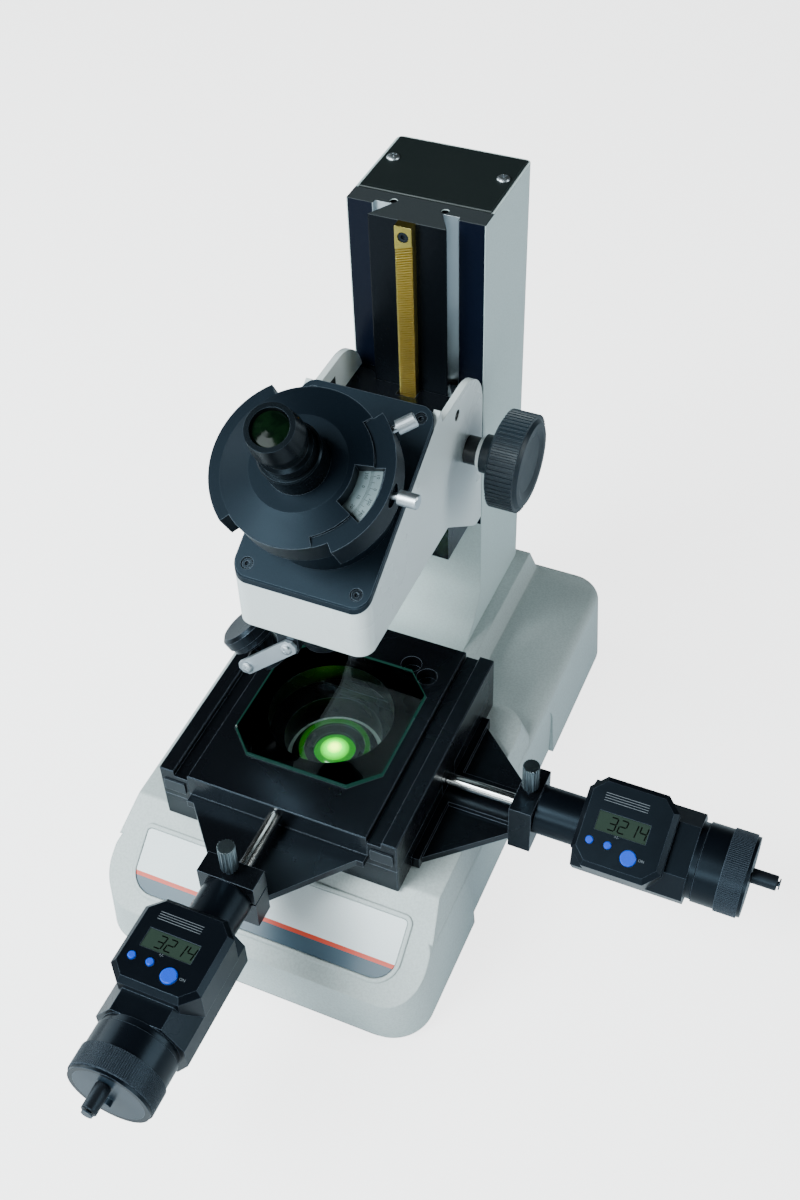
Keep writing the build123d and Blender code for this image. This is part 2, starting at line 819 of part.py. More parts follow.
with BuildPart() as column_cover:
    with BuildSketch(Plane.XY.offset(column_top - seat_depth)):
        with Locations((0, (cover_front + cover_back) / 2)):
            Rectangle(2 * (cover_half_width - running_fit), cover_back - cover_front - 2 * running_fit)
    extrude(amount=cover_thickness)
    chamfer(column_cover.faces().sort_by(Axis.Z)[-1].edges(), length=cover_edge)
    with Locations(Location((cover_screw_x, cover_screw_y, column_top + cover_proud)),
                   Location((-cover_screw_x, cover_screw_y, column_top + cover_proud))):
        Hole(radius=screw_shank_radius)
place(column_cover.part, "column_cover")

# Helical rack: tooth gaps cut along the helix, with one gap centred on the pinion
gap_half_tip = tooth_pitch / 4 + gear_module * tan(radians(pressure_angle)) + gear_backlash / 2
gap_half_root = tooth_pitch / 4 - gear_dedendum * tan(radians(pressure_angle)) + gear_backlash / 2
rack_tip_y = rack_pitch_y - gear_module
rack_root_y = rack_pitch_y + gear_dedendum
helix_rise = tan(radians(helix_angle))
gaps_up = int((column_top - rack_plain_top - pinion_height) / tooth_pitch)
gaps_down = int((pinion_height - rack_bottom) / tooth_pitch) + 1
with BuildPart() as rack:
    with BuildSketch(Plane.XY.offset(rack_bottom)):
        with Locations((0, (rack_tip_y + dovetail_tip_y) / 2)):
            Rectangle(rack_width, dovetail_tip_y - rack_tip_y)
    extrude(amount=column_top - rack_bottom)
    side_x = rack_width / 2 + reach_through
    with BuildSketch(Plane.YZ.offset(-side_x)) as rack_gaps:
        for index in range(-gaps_down, gaps_up + 1):
            middle = pinion_height + index * tooth_pitch - side_x * helix_rise
            with BuildLine():
                Polyline((rack_tip_y - reach_through, middle - gap_half_tip),
                         (rack_tip_y, middle - gap_half_tip),
                         (rack_root_y, middle - gap_half_root),
                         (rack_root_y, middle + gap_half_root),
                         (rack_tip_y, middle + gap_half_tip),
                         (rack_tip_y - reach_through, middle + gap_half_tip), close=True)
            make_face()
    extrude(amount=2 * side_x / cos(radians(helix_angle)), dir=(1, 0, helix_rise),
            mode=Mode.SUBTRACT)
    with Locations(Location((0, rack_tip_y, column_top - rack_screw_drop), (90, 0, 0))):
        CounterBoreHole(radius=screw_shank_radius,
                        counter_bore_radius=screw_head_radius + counterbore_gap,
                        counter_bore_depth=screw_head_height + rack_screw_sink)
place(rack.part, "rack")

# Two pan head screws in the column cover and the socket screw of the rack
with BuildPart() as column_screws:
    for side in (-1, 1):
        with BuildSketch(Plane.XY.offset(column_top + cover_proud)):
            with Locations((side * cover_screw_x, cover_screw_y)):
                Circle(pan_head_radius)
        extrude(amount=pan_head_height, taper=pan_head_taper)
        with BuildSketch(Plane.XY.offset(column_top + cover_proud)):
            with Locations((side * cover_screw_x, cover_screw_y)):
                Circle(screw_shank_radius)
        extrude(amount=-cover_screw_length)
    rack_seat_y = rack_tip_y + screw_head_height + rack_screw_sink
    rack_screw_plane = Plane(origin=(0, rack_seat_y, column_top - rack_screw_drop),
                             x_dir=(1, 0, 0), z_dir=(0, -1, 0))
    with BuildSketch(rack_screw_plane):
        Circle(screw_head_radius)
    extrude(amount=screw_head_height)
    with BuildSketch(rack_screw_plane.offset(screw_head_height)):
        RegularPolygon(radius=socket_radius, side_count=6)
    extrude(amount=-socket_depth, mode=Mode.SUBTRACT)
    with BuildSketch(rack_screw_plane):
        Circle(screw_shank_radius)
    extrude(amount=-(dovetail_tip_y - rack_seat_y + rack_screw_hold))
place(column_screws.part, "column_screws")

# Fixed stage block with the light aperture and a channel for the anvil of the saddle
channel_half = anvil_width / 2 + anvil_clearance
channel_floor = saddle_bottom - anvil_height - anvil_clearance
with BuildPart() as stage_base:
    with BuildSketch(Plane.XY.offset(platform_height)):
        Rectangle(stage_size, stage_size)
    extrude(amount=block_top - platform_height)
    chamfer(stage_base.edges().filter_by(Axis.Z), length=edge_break)
    with BuildSketch(Plane.XY.offset(block_top)):
        Circle(block_aperture_radius)
    extrude(amount=-(block_top - platform_height), mode=Mode.SUBTRACT)
    with BuildSketch(Plane.XY.offset(block_top)):
        channel_left = half_stage - anvil_thickness - half_travel - anvil_end_clearance
        with Locations(((channel_left + half_stage + reach_through) / 2, 0)):
            Rectangle(half_stage + reach_through - channel_left, 2 * channel_half)
    extrude(amount=-(block_top - channel_floor), mode=Mode.SUBTRACT)
place(stage_base.part, "stage_base")

# Saddle: floor, two side rails with guide ledges, and the anvil the right spindle bears on
rail_inner = half_stage - saddle_rail_width
plate_half = top_plate_width / 2
guide_top = stage_top - guide_drop
with BuildPart() as saddle:
    with BuildSketch(Plane.XY.offset(saddle_bottom)):
        Rectangle(stage_size, stage_size)
    extrude(amount=saddle_height)
    chamfer(saddle.edges().filter_by(Axis.Z), length=edge_break)
    with BuildSketch(Plane.XY.offset(stage_top)):
        Rectangle(2 * rail_inner, stage_size + 2 * reach_through)
    extrude(amount=-guide_drop, mode=Mode.SUBTRACT)
    with BuildSketch(Plane.XY.offset(stage_top)):
        Rectangle(2 * (plate_half + top_plate_gap), stage_size + 2 * reach_through)
    extrude(amount=-(stage_top - saddle_floor_top), mode=Mode.SUBTRACT)
    with BuildSketch(Plane.XY.offset(saddle_floor_top)):
        SlotOverall(saddle_aperture_length, saddle_aperture_width)
    extrude(amount=-saddle_floor, mode=Mode.SUBTRACT)
    with BuildSketch(Plane.XY.offset(saddle_bottom)):
        with Locations((half_stage - anvil_thickness / 2, 0)):
            Rectangle(anvil_thickness, anvil_width)
    extrude(amount=-anvil_height)
    rail_tops = saddle.faces().filter_by(Plane.XY).group_by(Axis.Z)[-1].edges()
    chamfer(rail_tops, length=fine_edge)
place(saddle.part, "saddle")

cover_middle_x = (plate_half + half_stage) / 2
with BuildPart() as guide_covers:
    with BuildSketch(Plane.XZ.offset(half_stage)):
        with Locations((0, (top_plate_bottom + guide_top) / 2 - guide_cover_drop)):
            with GridLocations(2 * cover_middle_x, 0, 2, 1):
                RectangleRounded(guide_cover_width, guide_cover_height, guide_cover_corner)
    extrude(amount=guide_cover_thickness)
place(guide_covers.part, "guide_covers")


def octagon_outline(half, corner):
    """Points of a square with its four corners cut off."""
    near = half - corner
    return [(half, near), (near, half), (-near, half), (-half, near),
            (-half, -near), (-near, -half), (near, -half), (half, -near)]


# Top plate with the eight-sided seat of the stage glass
seat_floor = stage_top - glass_seat_depth
with BuildPart() as top_plate:
    with BuildSketch(Plane.XY.offset(top_plate_bottom)):
        Rectangle(top_plate_width, stage_size)
    extrude(amount=stage_top - top_plate_bottom)
    chamfer(top_plate.faces().sort_by(Axis.Z)[-1].edges(), length=fine_edge)
    with BuildSketch(Plane.XY.offset(stage_top)):
        with BuildLine():
            Polyline(*octagon_outline(glass_width / 2 + glass_clearance, glass_corner), close=True)
        make_face()
    extrude(amount=-glass_seat_depth, mode=Mode.SUBTRACT)
    with BuildSketch(Plane.XY.offset(stage_top)):
        Circle(stage_aperture_radius)
    extrude(amount=-(stage_top - top_plate_bottom), mode=Mode.SUBTRACT)
    with BuildSketch(Plane.XY.offset(stage_top)):
        with Locations(*finger_places):
            Circle(finger_hole_radius)
    extrude(amount=-finger_hole_depth, mode=Mode.SUBTRACT)
place(top_plate.part, "top_plate")

with BuildPart() as stage_glass:
    with BuildSketch(Plane.XY.offset(seat_floor)):
        with BuildLine():
            Polyline(*octagon_outline(glass_width / 2, glass_corner), close=True)
        make_face()
    extrude(amount=glass_thickness)
    chamfer(stage_glass.faces().sort_by(Axis.Z)[-1].edges(), length=edge_break)
place(stage_glass.part, "stage_glass")

# Micrometer heads. Each has a plane whose Z runs out along the spindle and whose Y is up
right_plane = Plane(origin=(half_stage, 0, right_axis_height), x_dir=(0, 1, 0), z_dir=(1, 0, 0))
front_plane = Plane(origin=(0, -half_stage, front_axis_height), x_dir=(1, 0, 0), z_dir=(0, -1, 0))
tilt = radians(display_tilt)
right_turned = Plane(origin=right_plane.origin, x_dir=(0, cos(tilt), sin(tilt)), z_dir=(1, 0, 0))


def face_plane(head, height, across):
    """Plane of the display face, read from the operator's side; across is its reading direction."""
    centre = head.from_local_coords((0, height, display_centre))
    return Plane(origin=centre, x_dir=across, z_dir=head.y_dir)


def make_bracket(head, flange_top, name):
    """Triangular bracket: root flange, flat plate, central rib and the split clamp block."""
    plate_plane = Plane(origin=head.from_local_coords((0, bracket_plate_top, 0)),
                        x_dir=head.x_dir, z_dir=head.y_dir)
    flange_low = bracket_plate_top - bracket_plate_thickness
    with BuildPart() as bracket:
        with BuildSketch(plate_plane):
            with BuildLine():
                Polyline((-bracket_root_half, 0), (bracket_root_half, 0),
                         (clamp_half_width, -bracket_reach), (-clamp_half_width, -bracket_reach),
                         close=True)
            make_face()
        extrude(amount=-bracket_plate_thickness)
        with BuildSketch(head):
            with Locations((0, (flange_low + flange_top) / 2)):
                Rectangle(2 * bracket_root_half, flange_top - flange_low)
        extrude(amount=bracket_flange_thickness)
        with BuildSketch(head):
            with Locations((0, (flange_low + flange_top) / 2)):
                Rectangle(2 * bracket_rib_half, flange_top - flange_low)
        extrude(amount=bracket_reach)
        with BuildSketch(head.offset(bracket_reach)):
            with Locations((0, (clamp_above - clamp_below) / 2)):
                Rectangle(2 * clamp_half_width, clamp_above + clamp_below)
        extrude(amount=clamp_thickness)
        with BuildSketch(head.offset(bracket_reach)):
            Circle(stem_radius + running_fit)
            with Locations((clamp_half_width / 2 + stem_radius / 2, 0)):
                Rectangle(clamp_half_width, clamp_slot)
        extrude(amount=clamp_thickness, mode=Mode.SUBTRACT)
        screw_plane = Plane(origin=head.from_local_coords((0, clamp_above,
                                                           bracket_reach + clamp_thickness / 2)),
                            x_dir=head.x_dir, z_dir=head.y_dir)
        with BuildSketch(screw_plane):
            Circle(clamp_neck_radius + running_fit)
        extrude(amount=-(clamp_above - stem_radius), mode=Mode.SUBTRACT)
    place(bracket.part, name)


def make_clamp_screw(head, name):
    """Knurled thumbscrew that locks the micrometer in its clamp."""
    screw_plane = Plane(origin=head.from_local_coords((0, clamp_above,
                                                       bracket_reach + clamp_thickness / 2)),
                        x_dir=head.x_dir, z_dir=head.y_dir)
    with BuildPart() as clamp_screw:
        with BuildSketch(screw_plane.offset(clamp_neck_length)):
            with BuildLine():
                Polyline(*gear_outline(clamp_ridges, clamp_knob_radius - knurl_depth,
                                       clamp_knob_radius, clamp_ridge_foot, clamp_ridge_tip),
                         close=True)
            make_face()
        extrude(amount=clamp_knob_length)
        with BuildSketch(screw_plane.offset(body_gap - (clamp_above - stem_radius))):
            Circle(clamp_neck_radius)
        extrude(amount=clamp_above - stem_radius - body_gap + clamp_neck_length)
    place(clamp_screw.part, name)


def make_micrometer(head, across, side):
    """Body, display, spindle, thimble, end disc, crank and buttons of one digital head."""
    display = face_plane(head, display_height, across)
    pedestal_height = display_height - pedestal_root
    with BuildPart() as body:
        with BuildSketch(head.offset(bracket_reach)):
            Circle(stem_radius)
        extrude(amount=sleeve_start - bracket_reach + reach_through)
        with BuildSketch(head.offset(sleeve_start)):
            Circle(sleeve_radius)
        extrude(amount=sleeve_length + reach_through)
        low = housing_half_width * housing_floor_share
        with BuildSketch(head.offset(housing_start)):
            with BuildLine():
                Polyline((-housing_half_width, -housing_low_shoulder), (-low, -housing_top),
                         (low, -housing_top), (housing_half_width, -housing_low_shoulder),
                         (housing_half_width, housing_high_shoulder),
                         (housing_roof_half, housing_top), (-housing_roof_half, housing_top),
                         (-housing_half_width, housing_high_shoulder), close=True)
            make_face()
        extrude(amount=housing_length)
        with BuildSketch(display):
            with BuildLine():
                Polyline(*octagon_outline(display_size / 2, display_corner), close=True)
            make_face()
        extrude(amount=-pedestal_height)
        display_face = body.faces().sort_by_distance(display.origin)[0]
        chamfer(display_face.edges(), length=display_bevel)
        with BuildSketch(head.offset(housing_end)):
            Circle(thimble_radius - seal_step)
        extrude(amount=thimble_start - housing_end - body_gap)
        with BuildSketch(head.offset(housing_end)):
            Circle(core_radius)
        extrude(amount=thimble_end - disc_thickness - body_gap - housing_end)
        # Bore for the spindle, pockets for the window and the buttons
        with BuildSketch(head.offset(bracket_reach)):
            Circle(spindle_radius + running_fit)
        extrude(amount=spindle_length + half_travel + bore_spare - bracket_reach, mode=Mode.SUBTRACT)
        with BuildSketch(display):
            with Locations((window_offset_x, window_offset_y)):
                Rectangle(window_width, window_height)
        extrude(amount=-window_depth, mode=Mode.SUBTRACT)
        with BuildSketch(display):
            with Locations((button_places[0], button_row), (button_places[1], button_row)):
                Circle(small_button_radius + button_gap)
            with Locations((button_places[2], large_button_row)):
                Circle(large_button_radius + button_gap)
        extrude(amount=-button_depth, mode=Mode.SUBTRACT)
    place(body.part, side + "_micrometer_body")

    with BuildPart() as window:
        with BuildSketch(display.offset(-window_depth)):
            with Locations((window_offset_x, window_offset_y)):
                Rectangle(window_width - 2 * window_gap, window_height - 2 * window_gap)
        extrude(amount=window_depth - window_sink)
    place(window.part, side + "_display")

    with BuildPart() as spindle:
        with BuildSketch(head):
            Circle(spindle_radius)
        extrude(amount=spindle_length)
        chamfer(spindle.edges(), length=spindle_chamfer)
    place(spindle.part, side + "_spindle")

    with BuildPart() as thimble:
        with BuildSketch(head.offset(thimble_start)):
            Circle(thimble_radius)
        extrude(amount=thimble_length)
        with BuildSketch(head.offset(thimble_start + knurl_start)):
            with BuildLine():
                Polyline(*gear_outline(thimble_ridges, knurl_radius - knurl_depth, knurl_radius,
                                       thimble_ridge_foot, thimble_ridge_tip), close=True)
            make_face()
        extrude(amount=knurl_length)
        with BuildSketch(head.offset(thimble_start)):
            Circle(thimble_radius - thimble_wall)
        extrude(amount=thimble_length, mode=Mode.SUBTRACT)
    place(thimble.part, side + "_thimble")

    disc_face = head.offset(thimble_end)
    pin_end = crank_length + crank_pin_head
    with BuildPart() as end_disc:
        with BuildSketch(head.offset(thimble_end - disc_thickness)):
            Circle(thimble_radius - thimble_wall)
        extrude(amount=disc_thickness)
        with BuildSketch(head.offset(thimble_start + disc_hub_inset)):
            Circle(core_radius + running_fit + disc_hub_wall)
            Circle(core_radius + running_fit, mode=Mode.SUBTRACT)
        extrude(amount=thimble_length - disc_thickness - disc_hub_inset)
        with BuildSketch(disc_face):
            with Locations((0, stub_offset)):
                Circle(stub_radius)
        extrude(amount=stub_length)
        with BuildSketch(disc_face):
            with Locations((0, crank_offset)):
                Circle(crank_pin_radius)
        extrude(amount=pin_end)
        with BuildSketch(disc_face.offset(pin_end)):
            with Locations((0, crank_offset)):
                Circle(crank_pin_head_radius)
        extrude(amount=crank_pin_head)
    place(end_disc.part, side + "_end_disc")

    with BuildPart() as crank:
        with BuildSketch(disc_face.offset(body_gap)):
            with Locations((0, crank_offset)):
                Circle(crank_radius)
        extrude(amount=crank_length - body_gap)
        chamfer(crank.edges(), length=fine_edge)
        with BuildSketch(disc_face):
            with Locations((0, crank_offset)):
                Circle(crank_pin_radius + running_fit)
        extrude(amount=crank_length + reach_through, mode=Mode.SUBTRACT)
    place(crank.part, side + "_crank_handle")

    button_names = ("preset", "sign", "zero")
    button_sizes = (small_button_radius, small_button_radius, large_button_radius)
    button_rows = (button_row, button_row, large_button_row)
    for name, radius, across_place, row in zip(button_names, button_sizes, button_places, button_rows):
        with BuildPart() as button:
            with BuildSketch(display.offset(button_travel + button_floor_gap - button_depth)):
                with Locations((across_place, row)):
                    Circle(radius)
            extrude(amount=button_depth - button_travel - button_floor_gap + button_proud)
            crown = button.faces().filter_by(GeomType.PLANE)
            tops = [f for f in crown if display.to_local_coords(f.center()).Z > button_proud / 2]
            chamfer(tops[0].edges(), length=fine_edge)
        place(button.part, side + "_" + name + "_button")


make_bracket(right_plane, right_flange_top, "right_bracket")
make_bracket(front_plane, front_flange_top, "front_bracket")
make_clamp_screw(right_plane, "right_clamp_screw")
make_clamp_screw(front_plane, "front_clamp_screw")
make_micrometer(right_turned, (1, 0, 0), "right")
make_micrometer(front_plane, (1, 0, 0), "front")

# Carriage: female dovetail with a gib on the right, pinion chamber and shaft bore
carriage_back = column_front - slide_gap
slot_gap = 0.15
slot_depth_y = dovetail_tip_y - slide_gap
front_shift = (dovetail_tip_y - slot_depth_y) / tan(radians(dovetail_angle))
back_shift = (carriage_back - dovetail_tip_y) / tan(radians(dovetail_angle))
slot_front = dovetail_tip_half + front_shift + slot_gap
slot_back = dovetail_tip_half - back_shift + slot_gap
with BuildPart() as carriage:
    with BuildSketch(Plane.XY.offset(carriage_bottom)):
        with Locations((0, (carriage_front + carriage_back) / 2)):
            Rectangle(2 * carriage_half_width, carriage_back - carriage_front)
        with BuildLine():
            Polyline((-slot_front, slot_depth_y), (slot_front + gib_thickness, slot_depth_y),
                     (slot_back + gib_thickness, carriage_back), (-slot_back, carriage_back),
                     close=True)
        make_face(mode=Mode.SUBTRACT)
        with Locations((0, slot_depth_y - rack_channel_offset)):
            Rectangle(rack_width + 2 * rack_side_gap, rack_channel_depth, mode=Mode.SUBTRACT)
    extrude(amount=carriage_top - carriage_bottom)
    with BuildSketch(Plane.YZ.offset(-rack_width / 2 - rack_side_gap)):
        with Locations((pinion_y, pinion_height)):
            Circle(pinion_chamber_radius)
    extrude(amount=rack_width + 2 * rack_side_gap, mode=Mode.SUBTRACT)
    with BuildSketch(Plane.YZ.offset(shaft_left - body_gap)):
        with Locations((pinion_y, pinion_height)):
            Circle(shaft_radius + running_fit)
    extrude(amount=carriage_half_width - shaft_left + reach_through, mode=Mode.SUBTRACT)
place(carriage.part, "carriage")

with BuildPart() as gib:
    with BuildSketch(Plane.XY.offset(carriage_bottom + gib_end_gap)):
        with BuildLine():
            Polyline((slot_front, slot_depth_y), (slot_front + gib_thickness, slot_depth_y),
                     (slot_back + gib_thickness, carriage_back), (slot_back, carriage_back),
                     close=True)
        make_face()
    extrude(amount=carriage_top - carriage_bottom - 2 * gib_end_gap)
place(gib.part, "gib")

# Helical pinion on its shaft, lofted through turned copies of the tooth outline
tooth_turn = degrees(rack_width / 2 * helix_rise / pinion_radius)
tooth_half = 360 / pinion_teeth / 4
flank = degrees(gear_module * tan(radians(pressure_angle)) / pinion_radius)
slack = degrees(gear_backlash / 2 / pinion_radius)
pinion_steps = 4
with BuildPart() as pinion_shaft:
    for step in range(-pinion_steps, pinion_steps + 1):
        share = step / pinion_steps
        with BuildSketch(Plane.YZ.offset(share * rack_width / 2)):
            with Locations((pinion_y, pinion_height)):
                with BuildLine(mode=Mode.PRIVATE) as outline:
                    Polyline(*gear_outline(pinion_teeth, pinion_radius - gear_dedendum,
                                           pinion_radius + pinion_addendum,
                                           tooth_half + flank - slack, tooth_half - flank - slack,
                                           share * tooth_turn), close=True)
                add(Face(Wire(outline.edges())))
    loft(ruled=True)
    with BuildSketch(Plane.YZ.offset(shaft_left)):
        with Locations((pinion_y, pinion_height)):
            Circle(shaft_radius)
    extrude(amount=shaft_end_x - shaft_left)
    with BuildSketch(Plane.YZ.offset(stop_collar_start)):
        with Locations((pinion_y, pinion_height)):
            Circle(stop_collar_radius)
    extrude(amount=stop_collar_end - stop_collar_start)
place(pinion_shaft.part, "pinion_shaft")

# Focus knob with its collar, turned as one piece, with ribs round the rim
knob_outer_x = knob_inner_x + knob_width
with BuildPart() as focus_knob:
    with BuildSketch(Plane.XY.offset(pinion_height)):
        with BuildLine():
            x_end = knob_outer_x
            rim = knob_radius - 1.5 * knob_rib_depth
            y0 = pinion_y
            Polyline((collar_inner_x, y0), (collar_inner_x, y0 + washer_radius),
                     (collar_step_x, y0 + washer_radius), (collar_step_x, y0 + collar_radius),
                     (knob_inner_x, y0 + collar_radius), (knob_inner_x, y0 + rim - knob_rim_slope),
                     (knob_inner_x + knob_rim_slope, y0 + rim), (x_end - knob_rim_slope, y0 + rim),
                     (x_end, y0 + rim - knob_rim_slope), (x_end, y0 + knob_dish_radius),
                     (x_end - knob_dish_depth, y0 + knob_dish_radius - knob_dish_slope),
                     (x_end - knob_dish_depth, y0), close=True)
        make_face()
    revolve(axis=Axis((0, pinion_y, pinion_height), (1, 0, 0)))
    with BuildSketch(Plane.YZ.offset(knob_inner_x + knob_rib_inset)):
        with Locations((pinion_y, pinion_height)):
            with BuildLine(mode=Mode.PRIVATE) as outline:
                Polyline(*gear_outline(knob_ribs, knob_radius - knob_rib_depth, knob_radius,
                                       knob_rib_foot, knob_rib_tip), close=True)
            add(Face(Wire(outline.edges())))
    extrude(amount=knob_width - 2 * knob_rib_inset)
    with BuildSketch(Plane.YZ.offset(collar_inner_x)):
        with Locations((pinion_y, pinion_height)):
            Circle(shaft_radius)
    extrude(amount=shaft_end_x - collar_inner_x, mode=Mode.SUBTRACT)
place(focus_knob.part, "focus_knob")

# Head housing: an open trough that follows the slant of the cover
cover_plane = Plane(origin=(0, head_cover_front_y, head_cover_front_z), x_dir=(1, 0, 0),
                    z_dir=(0, -sin(radians(head_tilt)), cos(radians(head_tilt))))


def cover_underside(y):
    """Height of the underside of the slanted cover at a depth y."""
    return head_cover_front_z + (y - head_cover_front_y) * cover_slope_up - cover_drop


heel_z = carriage_bottom
head_lip_y = head_top_front - head_top_lip
shin_angle = atan2(head_bottom - head_shin_z, head_shin_y - head_bottom_back)
inner_shift = head_wall * tan(shin_angle / 2)
with BuildPart() as head_housing:
    with BuildSketch(Plane.YZ):
        with BuildLine():
            crown = RadiusArc((carriage_back, head_top - head_back_radius),
                              (carriage_back - head_back_radius, head_top), -head_back_radius)
            Polyline(crown @ 1, (head_top_front, head_top),
                     (head_lip_y, cover_underside(head_lip_y)),
                     (head_front, cover_underside(head_front)), (head_front, head_bottom),
                     (head_bottom_back, head_bottom), (head_shin_y, head_shin_z),
                     (head_heel_y, heel_z), (carriage_back, heel_z), crown @ 0)
        make_face()
    extrude(amount=head_half_width, both=True)
    front_edges = head_housing.edges().filter_by(Axis.Z).group_by(Axis.Y)[0]
    fillet(front_edges, radius=head_corner_radius)
    with BuildSketch(Plane.YZ):
        with BuildLine():
            floor = head_bottom + head_wall
            Polyline((head_front + head_wall, floor), (head_bottom_back + inner_shift, floor),
                     (carriage_front, carriage_bottom + head_wall + head_throat_height),
                     (carriage_front, carriage_bottom - reach_through),
                     (carriage_back + reach_through, carriage_bottom - reach_through),
                     (carriage_back + reach_through, head_top + head_open_top),
                     (head_front + head_wall, head_top + head_open_top), close=True)
        make_face()
    extrude(amount=carriage_half_width, both=True, mode=Mode.SUBTRACT)
    with BuildSketch(cover_plane.offset(-head_cover_thickness)):
        with Locations((0, head_cover_length / 2)):
            with GridLocations(2 * head_screw_x, head_cover_length - 2 * head_screw_inset, 2, 2):
                Circle(boss_radius)
    extrude(amount=-boss_length)
    with BuildSketch(cover_plane.offset(-head_cover_thickness)):
        with Locations((0, head_cover_length / 2)):
            with GridLocations(2 * head_screw_x, head_cover_length - 2 * head_screw_inset, 2, 2):
                Circle(screw_shank_radius)
    extrude(amount=-head_screw_hole_depth, mode=Mode.SUBTRACT)
    with BuildSketch(Plane.XY.offset(head_bottom)):
        Circle(objective_radius + running_fit)
    extrude(amount=head_wall, mode=Mode.SUBTRACT)
    with BuildSketch(Plane.YZ.offset(carriage_half_width)):
        with Locations((side_hole_y, side_hole_z)):
            Circle(side_hole_radius)
        with Locations((pinion_y, pinion_height)):
            Circle(shaft_radius + body_gap)
    extrude(amount=head_wall, mode=Mode.SUBTRACT)
place(head_housing.part, "head_housing")

# Cover of the head: slanted above and below, with upright sides like those of the housing
with BuildPart() as head_cover:
    with BuildSketch(Plane.XY.offset(head_bottom)):
        with Locations((0, (head_cover_front_y + cover_back_y) / 2)):
            RectangleRounded(2 * head_half_width, cover_back_y - head_cover_front_y, head_corner_radius)
    extrude(amount=cover_back_z - head_bottom)
    with BuildSketch(Plane.YZ):
        with BuildLine():
            Polyline((head_cover_front_y, head_cover_front_z - cover_drop),
                     (head_cover_front_y, head_cover_front_z), (cover_back_y, cover_back_z),
                     (cover_back_y, cover_back_z - cover_drop), close=True)
        make_face()
    extrude(amount=head_half_width + reach_through, both=True, mode=Mode.INTERSECT)
    upward = Axis(cover_plane.origin, cover_plane.z_dir)
    chamfer(head_cover.faces().sort_by(upward)[-1].edges(), length=cover_chamfer)
    with BuildSketch(cover_plane):
        with Locations((0, dial_distance)):
            Circle(light_hole_radius)
    extrude(amount=-head_cover_thickness, mode=Mode.SUBTRACT)
    with BuildSketch(cover_plane):
        with Locations((0, head_cover_length / 2)):
            with GridLocations(2 * head_screw_x, head_cover_length - 2 * head_screw_inset, 2, 2):
                Circle(screw_head_radius + head_screw_gap)
    extrude(amount=-(screw_head_height + head_screw_sink), mode=Mode.SUBTRACT)
    with BuildSketch(cover_plane):
        with Locations((0, head_cover_length / 2)):
            with GridLocations(2 * head_screw_x, head_cover_length - 2 * head_screw_inset, 2, 2):
                Circle(screw_shank_radius)
    extrude(amount=-head_cover_thickness, mode=Mode.SUBTRACT)
place(head_cover.part, "head_cover")

with BuildPart() as head_cover_screws:
    with BuildSketch(cover_plane.offset(-screw_head_height - head_screw_sink)):
        with Locations((0, head_cover_length / 2)):
            with GridLocations(2 * head_screw_x, head_cover_length - 2 * head_screw_inset, 2, 2):
                Circle(screw_head_radius)
    extrude(amount=screw_head_height)
    with BuildSketch(cover_plane.offset(-head_screw_sink)):
        with Locations((0, head_cover_length / 2)):
            with GridLocations(2 * head_screw_x, head_cover_length - 2 * head_screw_inset, 2, 2):
                RegularPolygon(radius=socket_radius, side_count=6)
    extrude(amount=-socket_depth, mode=Mode.SUBTRACT)
    with BuildSketch(cover_plane.offset(-screw_head_height - head_screw_sink)):
        with Locations((0, head_cover_length / 2)):
            with GridLocations(2 * head_screw_x, head_cover_length - 2 * head_screw_inset, 2, 2):
                Circle(screw_shank_radius)
    extrude(amount=-head_screw_length)
place(head_cover_screws.part, "head_cover_screws")

# Protractor head on the slanted cover
dial_plane = Plane(origin=cover_plane.from_local_coords((0, dial_distance, 0)),
                   x_dir=(1, 0, 0), z_dir=cover_plane.z_dir)
dial_base_height = ring_bottom - body_gap
with BuildPart() as protractor_base:
    with BuildSketch(dial_plane):
        Circle(dial_base_radius)
    extrude(amount=dial_base_height)
    with BuildSketch(dial_plane.offset(dial_base_height)):
        Circle(dial_hub_radius)
    extrude(amount=scale_top - scale_thickness - dial_base_height)
    with BuildSketch(dial_plane):
        Circle(tube_radius + tube_clearance)
    extrude(amount=scale_top, mode=Mode.SUBTRACT)
place(protractor_base.part, "protractor_base")

with BuildPart() as angle_scale:
    with BuildSketch(dial_plane.offset(scale_top - scale_thickness)):
        Circle(scale_outer_radius)
        Circle(scale_inner_radius, mode=Mode.SUBTRACT)
    extrude(amount=scale_thickness)
place(angle_scale.part, "angle_scale")


def sector_outline(inner, outer, start, end):
    """Ring sector between two radii and two angles, drawn in the current line context."""
    middle = (start + end) / 2
    Line(polar(inner, start), polar(outer, start))
    ThreePointArc(polar(outer, start), polar(outer, middle), polar(outer, end))
    Line(polar(outer, end), polar(inner, end))
    ThreePointArc(polar(inner, end), polar(inner, middle), polar(inner, start))


def ring_screw_plane(angle):
    """Plane on the outside of the protractor ring, facing out at an angle round the dial."""
    direction = dial_plane.x_dir * cos(radians(angle)) + dial_plane.y_dir * sin(radians(angle))
    origin = dial_plane.origin + dial_plane.z_dir * ring_screw_height + direction * grip_radius
    return Plane(origin=origin, x_dir=dial_plane.z_dir, z_dir=direction)


